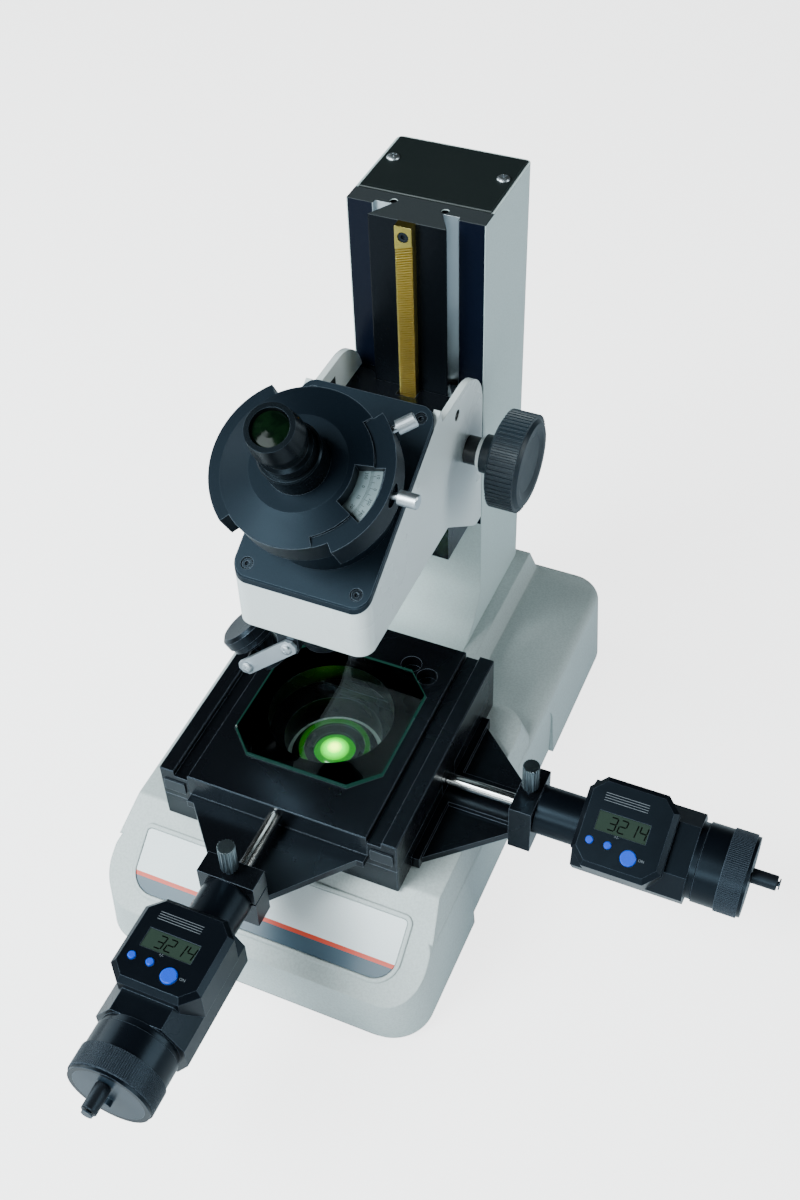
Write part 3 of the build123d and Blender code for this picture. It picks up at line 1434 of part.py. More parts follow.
with BuildPart() as protractor_housing:
    with BuildSketch(dial_plane.offset(ring_bottom)):
        Circle(ring_radius)
    extrude(amount=ring_top - ring_bottom)
    # Two thick sectors on opposite sides serve as grips
    with BuildSketch(dial_plane.offset(grip_bottom)):
        for middle_angle in (0, 180):
            with BuildLine():
                sector_outline(dial_base_radius, grip_radius, middle_angle - grip_half_angle,
                               middle_angle + grip_half_angle)
            make_face()
    extrude(amount=ring_top - grip_bottom)
    # Shallow cone up to the flat disc round the eyepiece tube
    with BuildSketch(dial_plane.offset(ring_top)):
        Circle(ring_radius - edge_break)
    cone_angle = degrees(atan2(ring_radius - edge_break - cone_top_radius, cone_top - ring_top))
    extrude(amount=cone_top - ring_top, taper=cone_angle)
    # Flat ledge on the right grip, and the window over the scale
    with BuildSketch(dial_plane.offset(ledge_height)):
        with BuildLine():
            sector_outline(ledge_inner_radius, grip_radius + reach_through, ledge_start_angle,
                           grip_half_angle + 1)
        make_face()
    extrude(amount=cone_top - ledge_height, mode=Mode.SUBTRACT)
    with BuildSketch(dial_plane.offset(shell_floor)):
        with BuildLine():
            sector_outline(window_inner_radius, window_outer_radius, window_start_angle,
                           window_end_angle)
        make_face()
    extrude(amount=cone_top - shell_floor + reach_through, mode=Mode.SUBTRACT)
    # Cavity that clears the hub and the scale, and the bore of the eyepiece tube
    with BuildSketch(dial_plane.offset(grip_bottom)):
        Circle(shell_inner_radius)
    extrude(amount=shell_floor - grip_bottom, mode=Mode.SUBTRACT)
    with BuildSketch(dial_plane.offset(ring_bottom)):
        Circle(tube_radius)
    extrude(amount=cone_top - ring_bottom, mode=Mode.SUBTRACT)
    # Slot and hole of each screw in the side of the ring
    ring_wall = grip_radius - shell_inner_radius
    for screw_angle in (lower_screw_angle, upper_screw_angle):
        with BuildSketch(ring_screw_plane(screw_angle)):
            Circle(screw_neck_radius + running_fit)
        extrude(amount=-ring_wall - reach_through, mode=Mode.SUBTRACT)
    with BuildSketch(ring_screw_plane(lower_screw_angle)):
        SlotOverall(screw_slot_length, 2 * (screw_knob_radius + screw_slot_gap), rotation=90)
    extrude(amount=-screw_slot_depth, mode=Mode.SUBTRACT)
place(protractor_housing.part, "protractor_housing")


def make_ring_screw(name, angle, gap):
    """Silver screw that enters the protractor ring from the side."""
    screw_plane = ring_screw_plane(angle)
    with BuildPart() as ring_screw:
        with BuildSketch(screw_plane.offset(-ring_wall + body_gap)):
            Circle(screw_neck_radius)
        extrude(amount=ring_wall - body_gap + gap)
        with BuildSketch(screw_plane.offset(gap)):
            Circle(screw_knob_radius)
        extrude(amount=screw_knob_length)
        outer_face = ring_screw.faces().sort_by(Axis(screw_plane.origin, screw_plane.z_dir))[-1]
        chamfer(outer_face.edges(), length=edge_break)
    place(ring_screw.part, name)


make_ring_screw("vernier_clamp_screw", lower_screw_angle, lower_screw_gap)
make_ring_screw("dial_lock_screw", upper_screw_angle, upper_screw_gap)

# Eyepiece tube and the eyepiece that screws in it to focus the cross lines
with BuildPart() as eyepiece_tube:
    with BuildSketch(dial_plane.offset(tube_bottom)):
        Circle(tube_radius)
        Circle(eyepiece_stem_radius + running_fit, mode=Mode.SUBTRACT)
    extrude(amount=tube_top - tube_bottom)
    top_rim = eyepiece_tube.faces().sort_by(Axis(dial_plane.origin, dial_plane.z_dir))[-1].edges()
    chamfer(top_rim, length=tube_rim_chamfer)
place(eyepiece_tube.part, "eyepiece_tube")


def turned_about_dial(name, points):
    """Solid turned about the eyepiece axis from radius and height points."""
    section_plane = Plane(origin=dial_plane.origin, x_dir=(1, 0, 0), z_dir=-dial_plane.y_dir)
    with BuildPart() as turned:
        with BuildSketch(section_plane):
            with BuildLine():
                Polyline(*points, close=True)
            make_face()
        revolve(axis=Axis(dial_plane.origin, dial_plane.z_dir))
    place(turned.part, name)


lens_seat = eyepiece_top - eye_lens_depth
turned_about_dial("eyepiece", [
    (0, tube_bottom + eyepiece_stem_gap),
    (eyepiece_stem_radius, tube_bottom + eyepiece_stem_gap),
    (eyepiece_stem_radius, tube_top + eyepiece_ring_start),
    (eyepiece_ring_radius, tube_top + eyepiece_ring_start),
    (eyepiece_ring_radius, tube_top + eyepiece_ring_end),
    (eyepiece_neck_radius, tube_top + eyepiece_neck_start),
    (eyepiece_neck_radius, tube_top + eyepiece_neck_end),
    (eyepiece_cap_radius, tube_top + eyepiece_cap_start),
    (eyepiece_cap_radius, tube_top + eyepiece_cap_end),
    (eyepiece_rim_radius, eyepiece_top), (eye_lens_radius + eye_lens_edge, eyepiece_top),
    (eye_lens_radius, lens_seat), (0, lens_seat)])
turned_about_dial("eye_lens", [
    (0, lens_seat), *dome_points(eye_lens_radius, lens_seat + eye_lens_edge, eye_lens_dome)])

# Objective under the head, and the prism that folds the light towards the eyepiece
with BuildPart() as objective:
    with BuildSketch(Plane.XZ):
        with BuildLine():
            Polyline((objective_bore_radius, objective_bottom + objective_lip),
                     (objective_nose_radius - objective_rim, objective_bottom),
                     (objective_nose_radius, objective_bottom),
                     (objective_nose_radius, objective_bottom + objective_lip),
                     (objective_radius, objective_bottom + objective_nose_length),
                     (objective_radius, objective_top), (objective_bore_radius, objective_top),
                     close=True)
        make_face()
    revolve(axis=Axis.Z)
    with BuildSketch(Plane.XY.offset(head_bottom + head_wall)):
        Circle(-head_front - head_wall - body_gap)
        Circle(objective_bore_radius, mode=Mode.SUBTRACT)
    extrude(amount=objective_flange)
    with BuildSketch(Plane.XY.offset(objective_bottom + objective_lip)):
        Circle(objective_bore_radius + objective_lens_hold)
    extrude(amount=objective_lens_thickness)
place(objective.part, "objective")

with BuildPart() as prism:
    with BuildSketch(Plane.YZ):
        with BuildLine():
            Polyline((prism_front, objective_top), (prism_back, objective_top),
                     (prism_top_back, objective_top + prism_back_rise),
                     (prism_top_front, objective_top + prism_front_rise), close=True)
        make_face()
    extrude(amount=prism_width / 2, both=True)
place(prism.part, "prism")

# Surface lamp beside the objective, hung on a bar that swings about a lug under the head
lug_front = arm_front + arm_thickness + lug_gap
lug_back = lug_front + lug_thickness
lug_low = arm_pivot_z - lug_below_pivot
with BuildPart() as lamp_lug:
    with BuildSketch(Plane.XZ.offset(-lug_back)):
        with Locations((arm_pivot_x, (lug_low + head_bottom) / 2)):
            Rectangle(lug_width, head_bottom - lug_low)
    extrude(amount=lug_thickness)
    fillet(lamp_lug.edges().filter_by(Axis.Y).group_by(Axis.Z)[0], radius=lug_corner)
    with BuildSketch(Plane.XZ.offset(-lug_back)):
        with Locations((arm_pivot_x, arm_pivot_z)):
            Circle(arm_pin_radius + running_fit)
    extrude(amount=lug_thickness, mode=Mode.SUBTRACT)
place(lamp_lug.part, "lamp_lug")

arm_run_x = lamp_pivot_x - arm_pivot_x
arm_run_z = lamp_pivot_z - arm_pivot_z
arm_angle = degrees(atan2(arm_run_z, arm_run_x))
arm_span = (arm_run_x ** 2 + arm_run_z ** 2) ** 0.5
arm_plane = Plane(origin=(arm_pivot_x, arm_front, arm_pivot_z), x_dir=(arm_run_x, 0, arm_run_z),
                  z_dir=(0, -1, 0))
with BuildPart() as lamp_arm:
    with BuildSketch(arm_plane):
        with Locations((arm_span / 2, 0)):
            Rectangle(arm_span + 2 * arm_end_length, 2 * arm_half_width)
    extrude(amount=-arm_thickness)
    chamfer(lamp_arm.edges().filter_by(Axis.Y), length=arm_corner_cut)
    with BuildSketch(arm_plane):
        with Locations((arm_span, 0)):
            Circle(arm_pin_radius + running_fit)
    extrude(amount=-arm_thickness, mode=Mode.SUBTRACT)
    with BuildSketch(arm_plane):
        Circle(arm_screw_radius)
    extrude(amount=arm_screw_height, taper=arm_screw_taper)
    with BuildSketch(arm_plane.offset(-arm_thickness)):
        Circle(arm_pin_radius)
    extrude(amount=-lug_thickness)
place(lamp_arm.part, "lamp_arm")

lamp_direction = (cos(radians(lamp_tilt)), 0, -sin(radians(lamp_tilt)))
lamp_axis_plane = Plane(origin=(lamp_pivot_x, surface_lamp_y, lamp_pivot_z), x_dir=(0, 1, 0),
                        z_dir=lamp_direction)
lamp_pivot_plane = Plane(origin=lamp_axis_plane.origin, x_dir=(1, 0, 0), z_dir=(0, -1, 0))
with BuildPart() as surface_lamp:
    with BuildSketch(Plane(origin=lamp_axis_plane.origin, x_dir=lamp_axis_plane.x_dir,
                           z_dir=lamp_axis_plane.y_dir)):
        with BuildLine():
            nose_end = lamp_nose_length - lamp_front_length
            Polyline((0, -lamp_front_length), (lamp_nose_radius, -lamp_front_length),
                     (lamp_nose_radius, nose_end), (lamp_barrel_radius, nose_end + lamp_nose_step),
                     (lamp_barrel_radius, lamp_barrel_end),
                     (lamp_flange_radius, lamp_barrel_end + lamp_flange_slope),
                     (lamp_flange_radius, lamp_flange_end),
                     (lamp_body_radius, lamp_flange_end), (lamp_body_radius, lamp_body_end),
                     (lamp_cap_radius, lamp_body_end + lamp_cap_step),
                     (lamp_cap_radius, lamp_back_length - lamp_cap_chamfer),
                     (lamp_cap_radius - lamp_cap_chamfer, lamp_back_length),
                     (0, lamp_back_length), close=True)
        make_face()
    revolve(axis=Axis(lamp_axis_plane.origin, lamp_axis_plane.z_dir))
    with BuildSketch(lamp_axis_plane.offset(lamp_front_length)):
        Circle(lamp_mouth_radius)
    extrude(amount=-lamp_mouth_depth, mode=Mode.SUBTRACT)
    with BuildSketch(lamp_pivot_plane):
        Circle(lamp_stub_radius)
    extrude(amount=surface_lamp_y - arm_front - arm_thickness - lamp_stub_gap)
    with BuildSketch(lamp_pivot_plane):
        Circle(arm_pin_radius)
    extrude(amount=surface_lamp_y - arm_front + lamp_stub_gap)
    with BuildSketch(lamp_pivot_plane.offset(surface_lamp_y - arm_front + lamp_stub_gap)):
        Circle(arm_screw_radius)
    extrude(amount=arm_screw_height, taper=arm_screw_taper)
place(surface_lamp.part, "surface_lamp")
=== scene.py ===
# %% [markdown]
# # A toolmakers microscope
# The object is a bench measuring microscope: an off-white cast stand, a black crossed stage with a
# glass plate lit green from below, two digital micrometers and a protractor head with an eyepiece.
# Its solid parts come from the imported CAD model, in metres and in place. This script dresses them:
# it gives every part a material and models the small things that the solids leave plain.

from math import cos, pi, radians, sin

import bpy
from mathutils import Matrix, Vector


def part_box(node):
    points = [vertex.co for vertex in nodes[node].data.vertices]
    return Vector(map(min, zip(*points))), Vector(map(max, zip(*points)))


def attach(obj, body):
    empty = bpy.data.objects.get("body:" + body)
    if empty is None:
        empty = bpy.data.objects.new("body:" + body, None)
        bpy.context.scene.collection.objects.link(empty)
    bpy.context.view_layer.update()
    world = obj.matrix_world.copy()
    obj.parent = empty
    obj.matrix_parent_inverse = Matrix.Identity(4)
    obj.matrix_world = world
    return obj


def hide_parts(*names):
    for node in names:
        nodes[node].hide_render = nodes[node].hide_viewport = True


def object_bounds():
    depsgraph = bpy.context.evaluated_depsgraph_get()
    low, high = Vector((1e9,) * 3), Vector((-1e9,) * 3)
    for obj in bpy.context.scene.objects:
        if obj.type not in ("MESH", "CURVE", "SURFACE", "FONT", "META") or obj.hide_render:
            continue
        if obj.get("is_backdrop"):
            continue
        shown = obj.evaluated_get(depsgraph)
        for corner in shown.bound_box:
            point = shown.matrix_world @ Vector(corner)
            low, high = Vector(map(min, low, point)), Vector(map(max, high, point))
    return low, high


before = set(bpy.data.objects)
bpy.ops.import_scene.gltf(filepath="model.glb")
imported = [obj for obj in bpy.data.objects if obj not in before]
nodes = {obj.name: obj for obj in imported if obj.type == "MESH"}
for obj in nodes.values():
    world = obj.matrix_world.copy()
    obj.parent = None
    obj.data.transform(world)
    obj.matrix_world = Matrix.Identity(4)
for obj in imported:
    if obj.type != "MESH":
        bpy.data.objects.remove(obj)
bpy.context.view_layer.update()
bpy.ops.object.select_all(action="DESELECT")
mm = 0.001

# %% [markdown]
# ## Camera
# The photograph was taken from above and to the front right of the operator's seat. The camera's
# place and turn were solved from the corners of the square stage, the glass and the column. It
# could be aimed at a target instead, but a solved matrix also keeps the small roll of the picture.
# A camera looks along its own -Z, so the matrix holds the right, up and backward directions.

# %% Camera
camera_place = Vector((0.2872, -0.5081, 0.8173))
camera_right = Vector((0.916687, 0.398634, -0.027851))
camera_up = Vector((-0.268012, 0.665016, 0.697082))
camera_back = Vector((0.296402, -0.631542, 0.71645))
camera_data = bpy.data.cameras.new("photo_camera")
camera_data.sensor_width = 36.0
camera_data.lens = 44.852
camera_data.clip_start = 0.05
camera_data.clip_end = 20.0
camera = bpy.data.objects.new("photo_camera", camera_data)
bpy.context.scene.collection.objects.link(camera)
turn = Matrix((camera_right, camera_up, camera_back)).transposed()
camera.matrix_world = Matrix.Translation(camera_place) @ turn.to_4x4()
bpy.context.scene.camera = camera
print("camera at", [round(v, 3) for v in camera.location])

# %% [markdown]
# ## Node helpers
# Every material, the floor and the sky are built from nodes. The same few steps come back each
# time: add a node, give an input a value or a link, mix two values, stretch a range. Short helpers
# for these steps keep the recipes below as readable as a list of what they do.

# %% Adding and feeding nodes
def add_node(tree, kind, **settings):
    """Node of a kind in a tree, with its properties set."""
    node = tree.nodes.new(kind)
    for key, value in settings.items():
        setattr(node, key, value)
    return node


def feed(tree, value, socket):
    """Link an input to the output given as value, or set it to a number or colour."""
    if isinstance(value, bpy.types.NodeSocket):
        tree.links.new(value, socket)
    else:
        socket.default_value = value


print("helpers ready: add_node, feed")

# %% Mixes, ranges and coordinates
def mix_node(tree, factor, first, second, kind="RGBA"):
    """Output of a Mix node: first where the factor is 0, second where it is 1."""
    node = add_node(tree, "ShaderNodeMix", data_type=kind)
    feed(tree, factor, node.inputs["Factor"])
    feed(tree, first, node.inputs["A"])
    feed(tree, second, node.inputs["B"])
    return node.outputs["Result"]


def range_node(tree, value, start, end, low=0.0, high=1.0):
    """Output that goes from low to high while the value goes from start to end."""
    node = add_node(tree, "ShaderNodeMapRange")
    feed(tree, value, node.inputs["Value"])
    for label, limit in (("From Min", start), ("From Max", end), ("To Min", low), ("To Max", high)):
        feed(tree, limit, node.inputs[label])
    return node.outputs["Result"]


def coordinates(tree, kind):
    """Texture coordinates. The kind Object gives metres in the frame of the whole microscope."""
    return add_node(tree, "ShaderNodeTexCoord").outputs[kind]


def split_axes(tree, vector):
    """X, Y and Z outputs of a vector."""
    node = add_node(tree, "ShaderNodeSeparateXYZ")
    tree.links.new(vector, node.inputs[0])
    return node.outputs


print("helpers ready: mix_node, range_node, coordinates, split_axes")

# %% [markdown]
# ## Floor
# The instrument stands on plain white, and its black enamel still looks black. A photographer gets
# both by standing black cards round the object. Here the floor glows: it is bright where the camera
# sees it, and dim and bluish in light and reflections. The Light Path node tells the two apart.

# %% Floor
floor_size = 8.0
floor_glow = 3.0
reflected_share = 0.12
reflected_tint = (0.5, 0.78, 1.0, 1.0)
white = (1.0, 1.0, 1.0, 1.0)
bpy.ops.mesh.primitive_plane_add(size=floor_size, location=(0, 0, 0))
floor = bpy.context.object
floor.name = "studio_floor"
floor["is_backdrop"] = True
floor_paint = bpy.data.materials.new("studio_white")
floor_paint.use_nodes = True
floor_tree = floor_paint.node_tree
floor_shader = floor_tree.nodes["Principled BSDF"]
floor_shader.inputs["Base Color"].default_value = (0.6, 0.6, 0.6, 1.0)
floor_shader.inputs["Roughness"].default_value = 0.9
seen = add_node(floor_tree, "ShaderNodeLightPath").outputs["Is Camera Ray"]
floor_level = mix_node(floor_tree, seen, floor_glow * reflected_share, floor_glow, "FLOAT")
floor_tree.links.new(floor_level, floor_shader.inputs["Emission Strength"])
floor_tint = mix_node(floor_tree, seen, reflected_tint, white)
floor_tree.links.new(floor_tint, floor_shader.inputs["Emission Color"])
floor.data.materials.append(floor_paint)
print("floor:", floor_size, "m square")

# %% [markdown]
# ## Sky
# Low views look past the floor's far edge. The sky has the floor's brightness for the camera, so no
# edge shows. For light and reflections it is nearly black, a little brighter at the horizon than
# overhead, which gives dark glossy parts a soft gradient, as the walls of a studio do.

# %% Sky
horizon_strength = 0.018
zenith_strength = 0.0015
horizon_rise = 0.1
zenith_rise = 0.8
world = bpy.data.worlds.new("studio_world")
world.use_nodes = True
sky = world.node_tree
rise = split_axes(sky, coordinates(sky, "Generated"))["Z"]
sky_fade = range_node(sky, rise, horizon_rise, zenith_rise, horizon_strength, zenith_strength)
seen = add_node(sky, "ShaderNodeLightPath").outputs["Is Camera Ray"]
sky_level = mix_node(sky, seen, sky_fade, floor_glow, "FLOAT")
backdrop = sky.nodes["Background"]
backdrop.inputs["Color"].default_value = white
sky.links.new(sky_level, backdrop.inputs["Strength"])
bpy.context.scene.world = world
print("sky strength:", zenith_strength, "to", horizon_strength)

# %% [markdown]
# ## Light
# Wide soft boxes light such a photograph, so edges shine and shadows stay faint. The strongest box
# hangs in front, high on the left, a smaller one stands low in front, and two weak ones fill the
# sides. Area lights suit this: their size softens the shadow and their shape shows in the gloss.
# Their slightly cool colour gives the off-white paint its cold tone.

# %% Light
cool_white = (0.88, 0.98, 1.0)


def soft_box(name, place, target, width, height, power):
    """Rectangular area light that looks from its place at a target."""
    data = bpy.data.lights.new(name, "AREA")
    data.shape = "RECTANGLE"
    data.size = width
    data.size_y = height
    data.energy = power
    data.color = cool_white
    lamp = bpy.data.objects.new(name, data)
    bpy.context.scene.collection.objects.link(lamp)
    lamp.location = place
    lamp.rotation_euler = (Vector(target) - Vector(place)).to_track_quat("-Z", "Y").to_euler()


soft_box("front_box", place=(-0.75, -1.15, 1.55), target=(0, 0.05, 0.15), width=1.0, height=0.9,
         power=67)
soft_box("low_box", place=(0.1, -1.7, 0.75), target=(0, -0.15, 0.05), width=0.8, height=0.5,
         power=15)
soft_box("left_box", place=(-1.4, 0.1, 0.8), target=(0, 0, 0.15), width=0.6, height=1.3, power=14)
soft_box("right_box", place=(1.5, 0.3, 0.8), target=(0, 0.05, 0.2), width=0.5, height=1.2,
         power=13)

# %% [markdown]
# ## Shared effects
# Real surfaces are never one value all over. Three effects come back in nearly every finish here,
# so each is a node group with named inputs: a fine grain with its bump, a slow smudge that varies
# the gloss as hands do, and a rounded edge, which finds sharp edges and lights them up.

# %% Group helpers
def new_group(name, inputs, outputs):
    """Empty shader node group with float inputs and the outputs given as name and kind."""
    group = bpy.data.node_groups.new(name, "ShaderNodeTree")
    for label, value in inputs:
        socket = group.interface.new_socket(label, in_out="INPUT", socket_type="NodeSocketFloat")
        socket.default_value = value
    for label, kind in outputs:
        group.interface.new_socket(label, in_out="OUTPUT", socket_type=kind)
    entry = group.nodes.new("NodeGroupInput")
    leave = group.nodes.new("NodeGroupOutput")
    return group, entry.outputs, leave.inputs


def math_node(tree, operation, first, second=None):
    """Output of a Math node whose inputs are sockets or numbers."""
    node = add_node(tree, "ShaderNodeMath", operation=operation)
    feed(tree, first, node.inputs[0])
    if second is not None:
        feed(tree, second, node.inputs[1])
    return node.outputs[0]


def noise_node(tree, place, size_mm, detail, distortion=0.0):
    """Noise whose blotches are about size_mm across."""
    node = add_node(tree, "ShaderNodeTexNoise")
    node.inputs["Detail"].default_value = detail
    node.inputs["Distortion"].default_value = distortion
    tree.links.new(place, node.inputs["Vector"])
    tree.links.new(math_node(tree, "DIVIDE", 1 / mm, size_mm), node.inputs["Scale"])
    return node.outputs["Fac"]


print("group helpers ready")

# %% [markdown]
# ### Fine grain
# Paint, plating and moulded plastic all have a fine orange peel. It could be a picture, but noise
# has no seams and no size limit. Its height feeds the bump, its mask mixes two close colours.

# %% Fine grain
grain, given, result = new_group("fine_grain", [("Size mm", 1.0)],
                                 [("Height", "NodeSocketFloat"), ("Mask", "NodeSocketFloat")])
dots = noise_node(grain, coordinates(grain, "Object"), given["Size mm"], detail=3.0)
grain.links.new(dots, result["Height"])
grain.links.new(range_node(grain, dots, start=0.42, end=0.6), result["Mask"])
print("group:", grain.name)

# %% [markdown]
# ### Smudge
# Where hands rest, gloss changes slowly over centimetres. A warped noise is stretched between the
# lowest and the highest roughness of the finish, so no surface mirrors the same all over.

# %% Smudge
smudge, given, result = new_group("smudge", [("Size mm", 60.0), ("Low", 0.3), ("High", 0.5)],
                                  [("Roughness", "NodeSocketFloat")])
blotches = noise_node(smudge, coordinates(smudge, "Object"), given["Size mm"], detail=5.0,
                      distortion=0.6)
gloss_range = range_node(smudge, blotches, start=0.3, end=0.7, low=given["Low"],
                         high=given["High"])
smudge.links.new(gloss_range, result["Roughness"])
print("group:", smudge.name)

# %% [markdown]
# ### Rounded edge
# A real edge always catches light, because it is slightly rounded and rubbed. Bevelling sixty
# solids would change their meshes, so the Bevel node bends the normal near edges instead. Where
# the bent normal leaves the true one, there is an edge, and the mask is 1.

# %% Rounded edge
edges, given, result = new_group("rounded_edge", [("Radius mm", 0.5)],
                                 [("Normal", "NodeSocketVector"), ("Mask", "NodeSocketFloat")])
rounding = add_node(edges, "ShaderNodeBevel", samples=6)
edges.links.new(math_node(edges, "MULTIPLY", given["Radius mm"], mm), rounding.inputs["Radius"])
surface = add_node(edges, "ShaderNodeNewGeometry")
facing = add_node(edges, "ShaderNodeVectorMath", operation="DOT_PRODUCT")
edges.links.new(rounding.outputs["Normal"], facing.inputs[0])
edges.links.new(surface.outputs["Normal"], facing.inputs[1])
edges.links.new(rounding.outputs["Normal"], result["Normal"])
edge_mask = range_node(edges, facing.outputs["Value"], start=0.995, end=0.85)
edges.links.new(edge_mask, result["Mask"])
print("group:", edges.name)

# %% [markdown]
# ## Finishes
# Every finish is the same small recipe with its own values: a colour that drifts a little, a lighter
# edge tint that is partly polish from handling and partly a painted highlight, a gloss that the
# smudge group varies, and a grain for bump.
# One function makes them all, so a change to the recipe reaches every part.

# %% The recipe
finishes = {}


def place_group(tree, group, **values):
    """Copy of a node group in a material, with its inputs set by name."""
    node = add_node(tree, "ShaderNodeGroup", node_tree=group)
    for label, value in values.items():
        node.inputs[label.replace("_", " ")].default_value = value
    return node


def finish_material(name, colour, drift, edge_wear_and_highlight, gloss, grain_size, bump, metallic=0.0,
                    edge_radius=0.4, edge_share=0.5, coat=0.0, shine=0.5,
                    mirror_tint=(1.0, 1.0, 1.0)):
    """Painted, plated or moulded finish. gloss is the lowest and highest roughness, grain_size
    and bump are millimetres, and shine is how much a smooth dark surface mirrors at right angles,
    in the colour of mirror_tint."""
    material = bpy.data.materials.new(name)
    material.use_nodes = True
    tree = material.node_tree
    shader = tree.nodes["Principled BSDF"]
    shader.inputs["Metallic"].default_value = metallic
    shader.inputs["Coat Weight"].default_value = coat
    shader.inputs["Coat Roughness"].default_value = 0.15
    shader.inputs["Specular IOR Level"].default_value = shine
    shader.inputs["Specular Tint"].default_value = (*mirror_tint, 1.0)
    fine = place_group(tree, grain, Size_mm=grain_size)
    slow = place_group(tree, smudge, Size_mm=55.0, Low=gloss[0], High=gloss[1])
    rim = place_group(tree, edges, Radius_mm=edge_radius)
    base = mix_node(tree, fine.outputs["Mask"], (*colour, 1.0), (*drift, 1.0))
    # Edges take the lighter edge colour: partly rubbed wear, partly a painted highlight.
    wear_and_highlight = math_node(tree, "MULTIPLY", rim.outputs["Mask"], edge_share)
    tree.links.new(mix_node(tree, wear_and_highlight, base, (*edge_wear_and_highlight, 1.0)), shader.inputs["Base Color"])
    tree.links.new(slow.outputs["Roughness"], shader.inputs["Roughness"])
    relief = add_node(tree, "ShaderNodeBump")
    relief.inputs["Strength"].default_value = 1.0
    relief.inputs["Distance"].default_value = bump * mm
    tree.links.new(fine.outputs["Height"], relief.inputs["Height"])
    tree.links.new(rim.outputs["Normal"], relief.inputs["Normal"])
    tree.links.new(relief.outputs["Normal"], shader.inputs["Normal"])
    finishes[name] = material
    return material


print("recipe ready")

# %% [markdown]
# ### Paints, blacks and metals
# The stand is off-white hammer paint and the head a smoother white. The blacks differ in gloss: the
# stage is anodised, the meters are moulded and the dial is enamelled. In the photograph their gloss
# is faint and bluish, so their reflections are kept weak and tinted blue.

# %% Paints
night_blue = (0.55, 0.78, 1.0)
finish_material("stand_paint", colour=(0.56, 0.63, 0.625), drift=(0.50, 0.565, 0.56),
                edge_wear_and_highlight=(0.68, 0.74, 0.74), gloss=(0.38, 0.48), grain_size=1.3, bump=0.10,
                edge_radius=1.5, edge_share=0.3)
finish_material("head_paint", colour=(0.76, 0.82, 0.82), drift=(0.73, 0.79, 0.79),
                edge_wear_and_highlight=(0.86, 0.90, 0.90), gloss=(0.25, 0.33), grain_size=0.8, bump=0.01,
                coat=0.25, edge_radius=0.8, edge_share=0.3)
finish_material("slate_enamel", colour=(0.007, 0.012, 0.018), drift=(0.006, 0.010, 0.015),
                edge_wear_and_highlight=(0.22, 0.28, 0.34), gloss=(0.34, 0.46), grain_size=0.6, bump=0.02,
                edge_radius=0.45, edge_share=0.8, shine=0.2, mirror_tint=night_blue)
finish_material("dial_enamel", colour=(0.004, 0.007, 0.011), drift=(0.003, 0.0055, 0.009),
                edge_wear_and_highlight=(0.20, 0.25, 0.30), gloss=(0.34, 0.44), grain_size=0.5, bump=0.01,
                edge_radius=0.45, edge_share=0.8, shine=0.13, mirror_tint=night_blue)
finish_material("cover_grey", colour=(0.013, 0.018, 0.018), drift=(0.011, 0.015, 0.015),
                edge_wear_and_highlight=(0.12, 0.15, 0.15), gloss=(0.30, 0.42), grain_size=0.6, bump=0.02,
                edge_share=0.8, shine=0.3)
print("finishes:", len(finishes))

# %% Blacks and blue
finish_material("stage_black", colour=(0.0035, 0.004, 0.0055), drift=(0.0025, 0.003, 0.004),
                edge_wear_and_highlight=(0.20, 0.24, 0.29), gloss=(0.22, 0.34), grain_size=0.3, bump=0.006,
                edge_share=0.8, shine=0.28, mirror_tint=night_blue)
finish_material("meter_black", colour=(0.003, 0.004, 0.006), drift=(0.002, 0.003, 0.005),
                edge_wear_and_highlight=(0.10, 0.13, 0.17), gloss=(0.26, 0.36), grain_size=0.35, bump=0.01,
                edge_share=0.8, shine=0.2, mirror_tint=night_blue)
finish_material("eye_black", colour=(0.003, 0.004, 0.005), drift=(0.002, 0.003, 0.004),
                edge_wear_and_highlight=(0.06, 0.08, 0.10), gloss=(0.22, 0.30), grain_size=0.35, bump=0.01,
                edge_radius=0.3, edge_share=0.7, shine=0.15, mirror_tint=night_blue)
finish_material("guide_grey", colour=(0.016, 0.019, 0.022), drift=(0.013, 0.015, 0.018),
                edge_wear_and_highlight=(0.20, 0.24, 0.28), gloss=(0.32, 0.42), grain_size=0.4, bump=0.01,
                edge_share=0.8, shine=0.3, mirror_tint=night_blue)
finish_material("moulded_black", colour=(0.008, 0.009, 0.011), drift=(0.006, 0.007, 0.009),
                edge_wear_and_highlight=(0.05, 0.055, 0.06), gloss=(0.34, 0.46), grain_size=0.5, bump=0.02,
                shine=0.3, mirror_tint=night_blue)
finish_material("rubber", colour=(0.012, 0.012, 0.012), drift=(0.018, 0.018, 0.018),
                edge_wear_and_highlight=(0.03, 0.03, 0.03), gloss=(0.7, 0.85), grain_size=0.6, bump=0.03)
finish_material("button_blue", colour=(0.003, 0.07, 0.70), drift=(0.002, 0.06, 0.62),
                edge_wear_and_highlight=(0.06, 0.24, 0.90), gloss=(0.26, 0.34), grain_size=0.5, bump=0.002,
                edge_radius=0.25, shine=0.3)
print("finishes:", len(finishes))

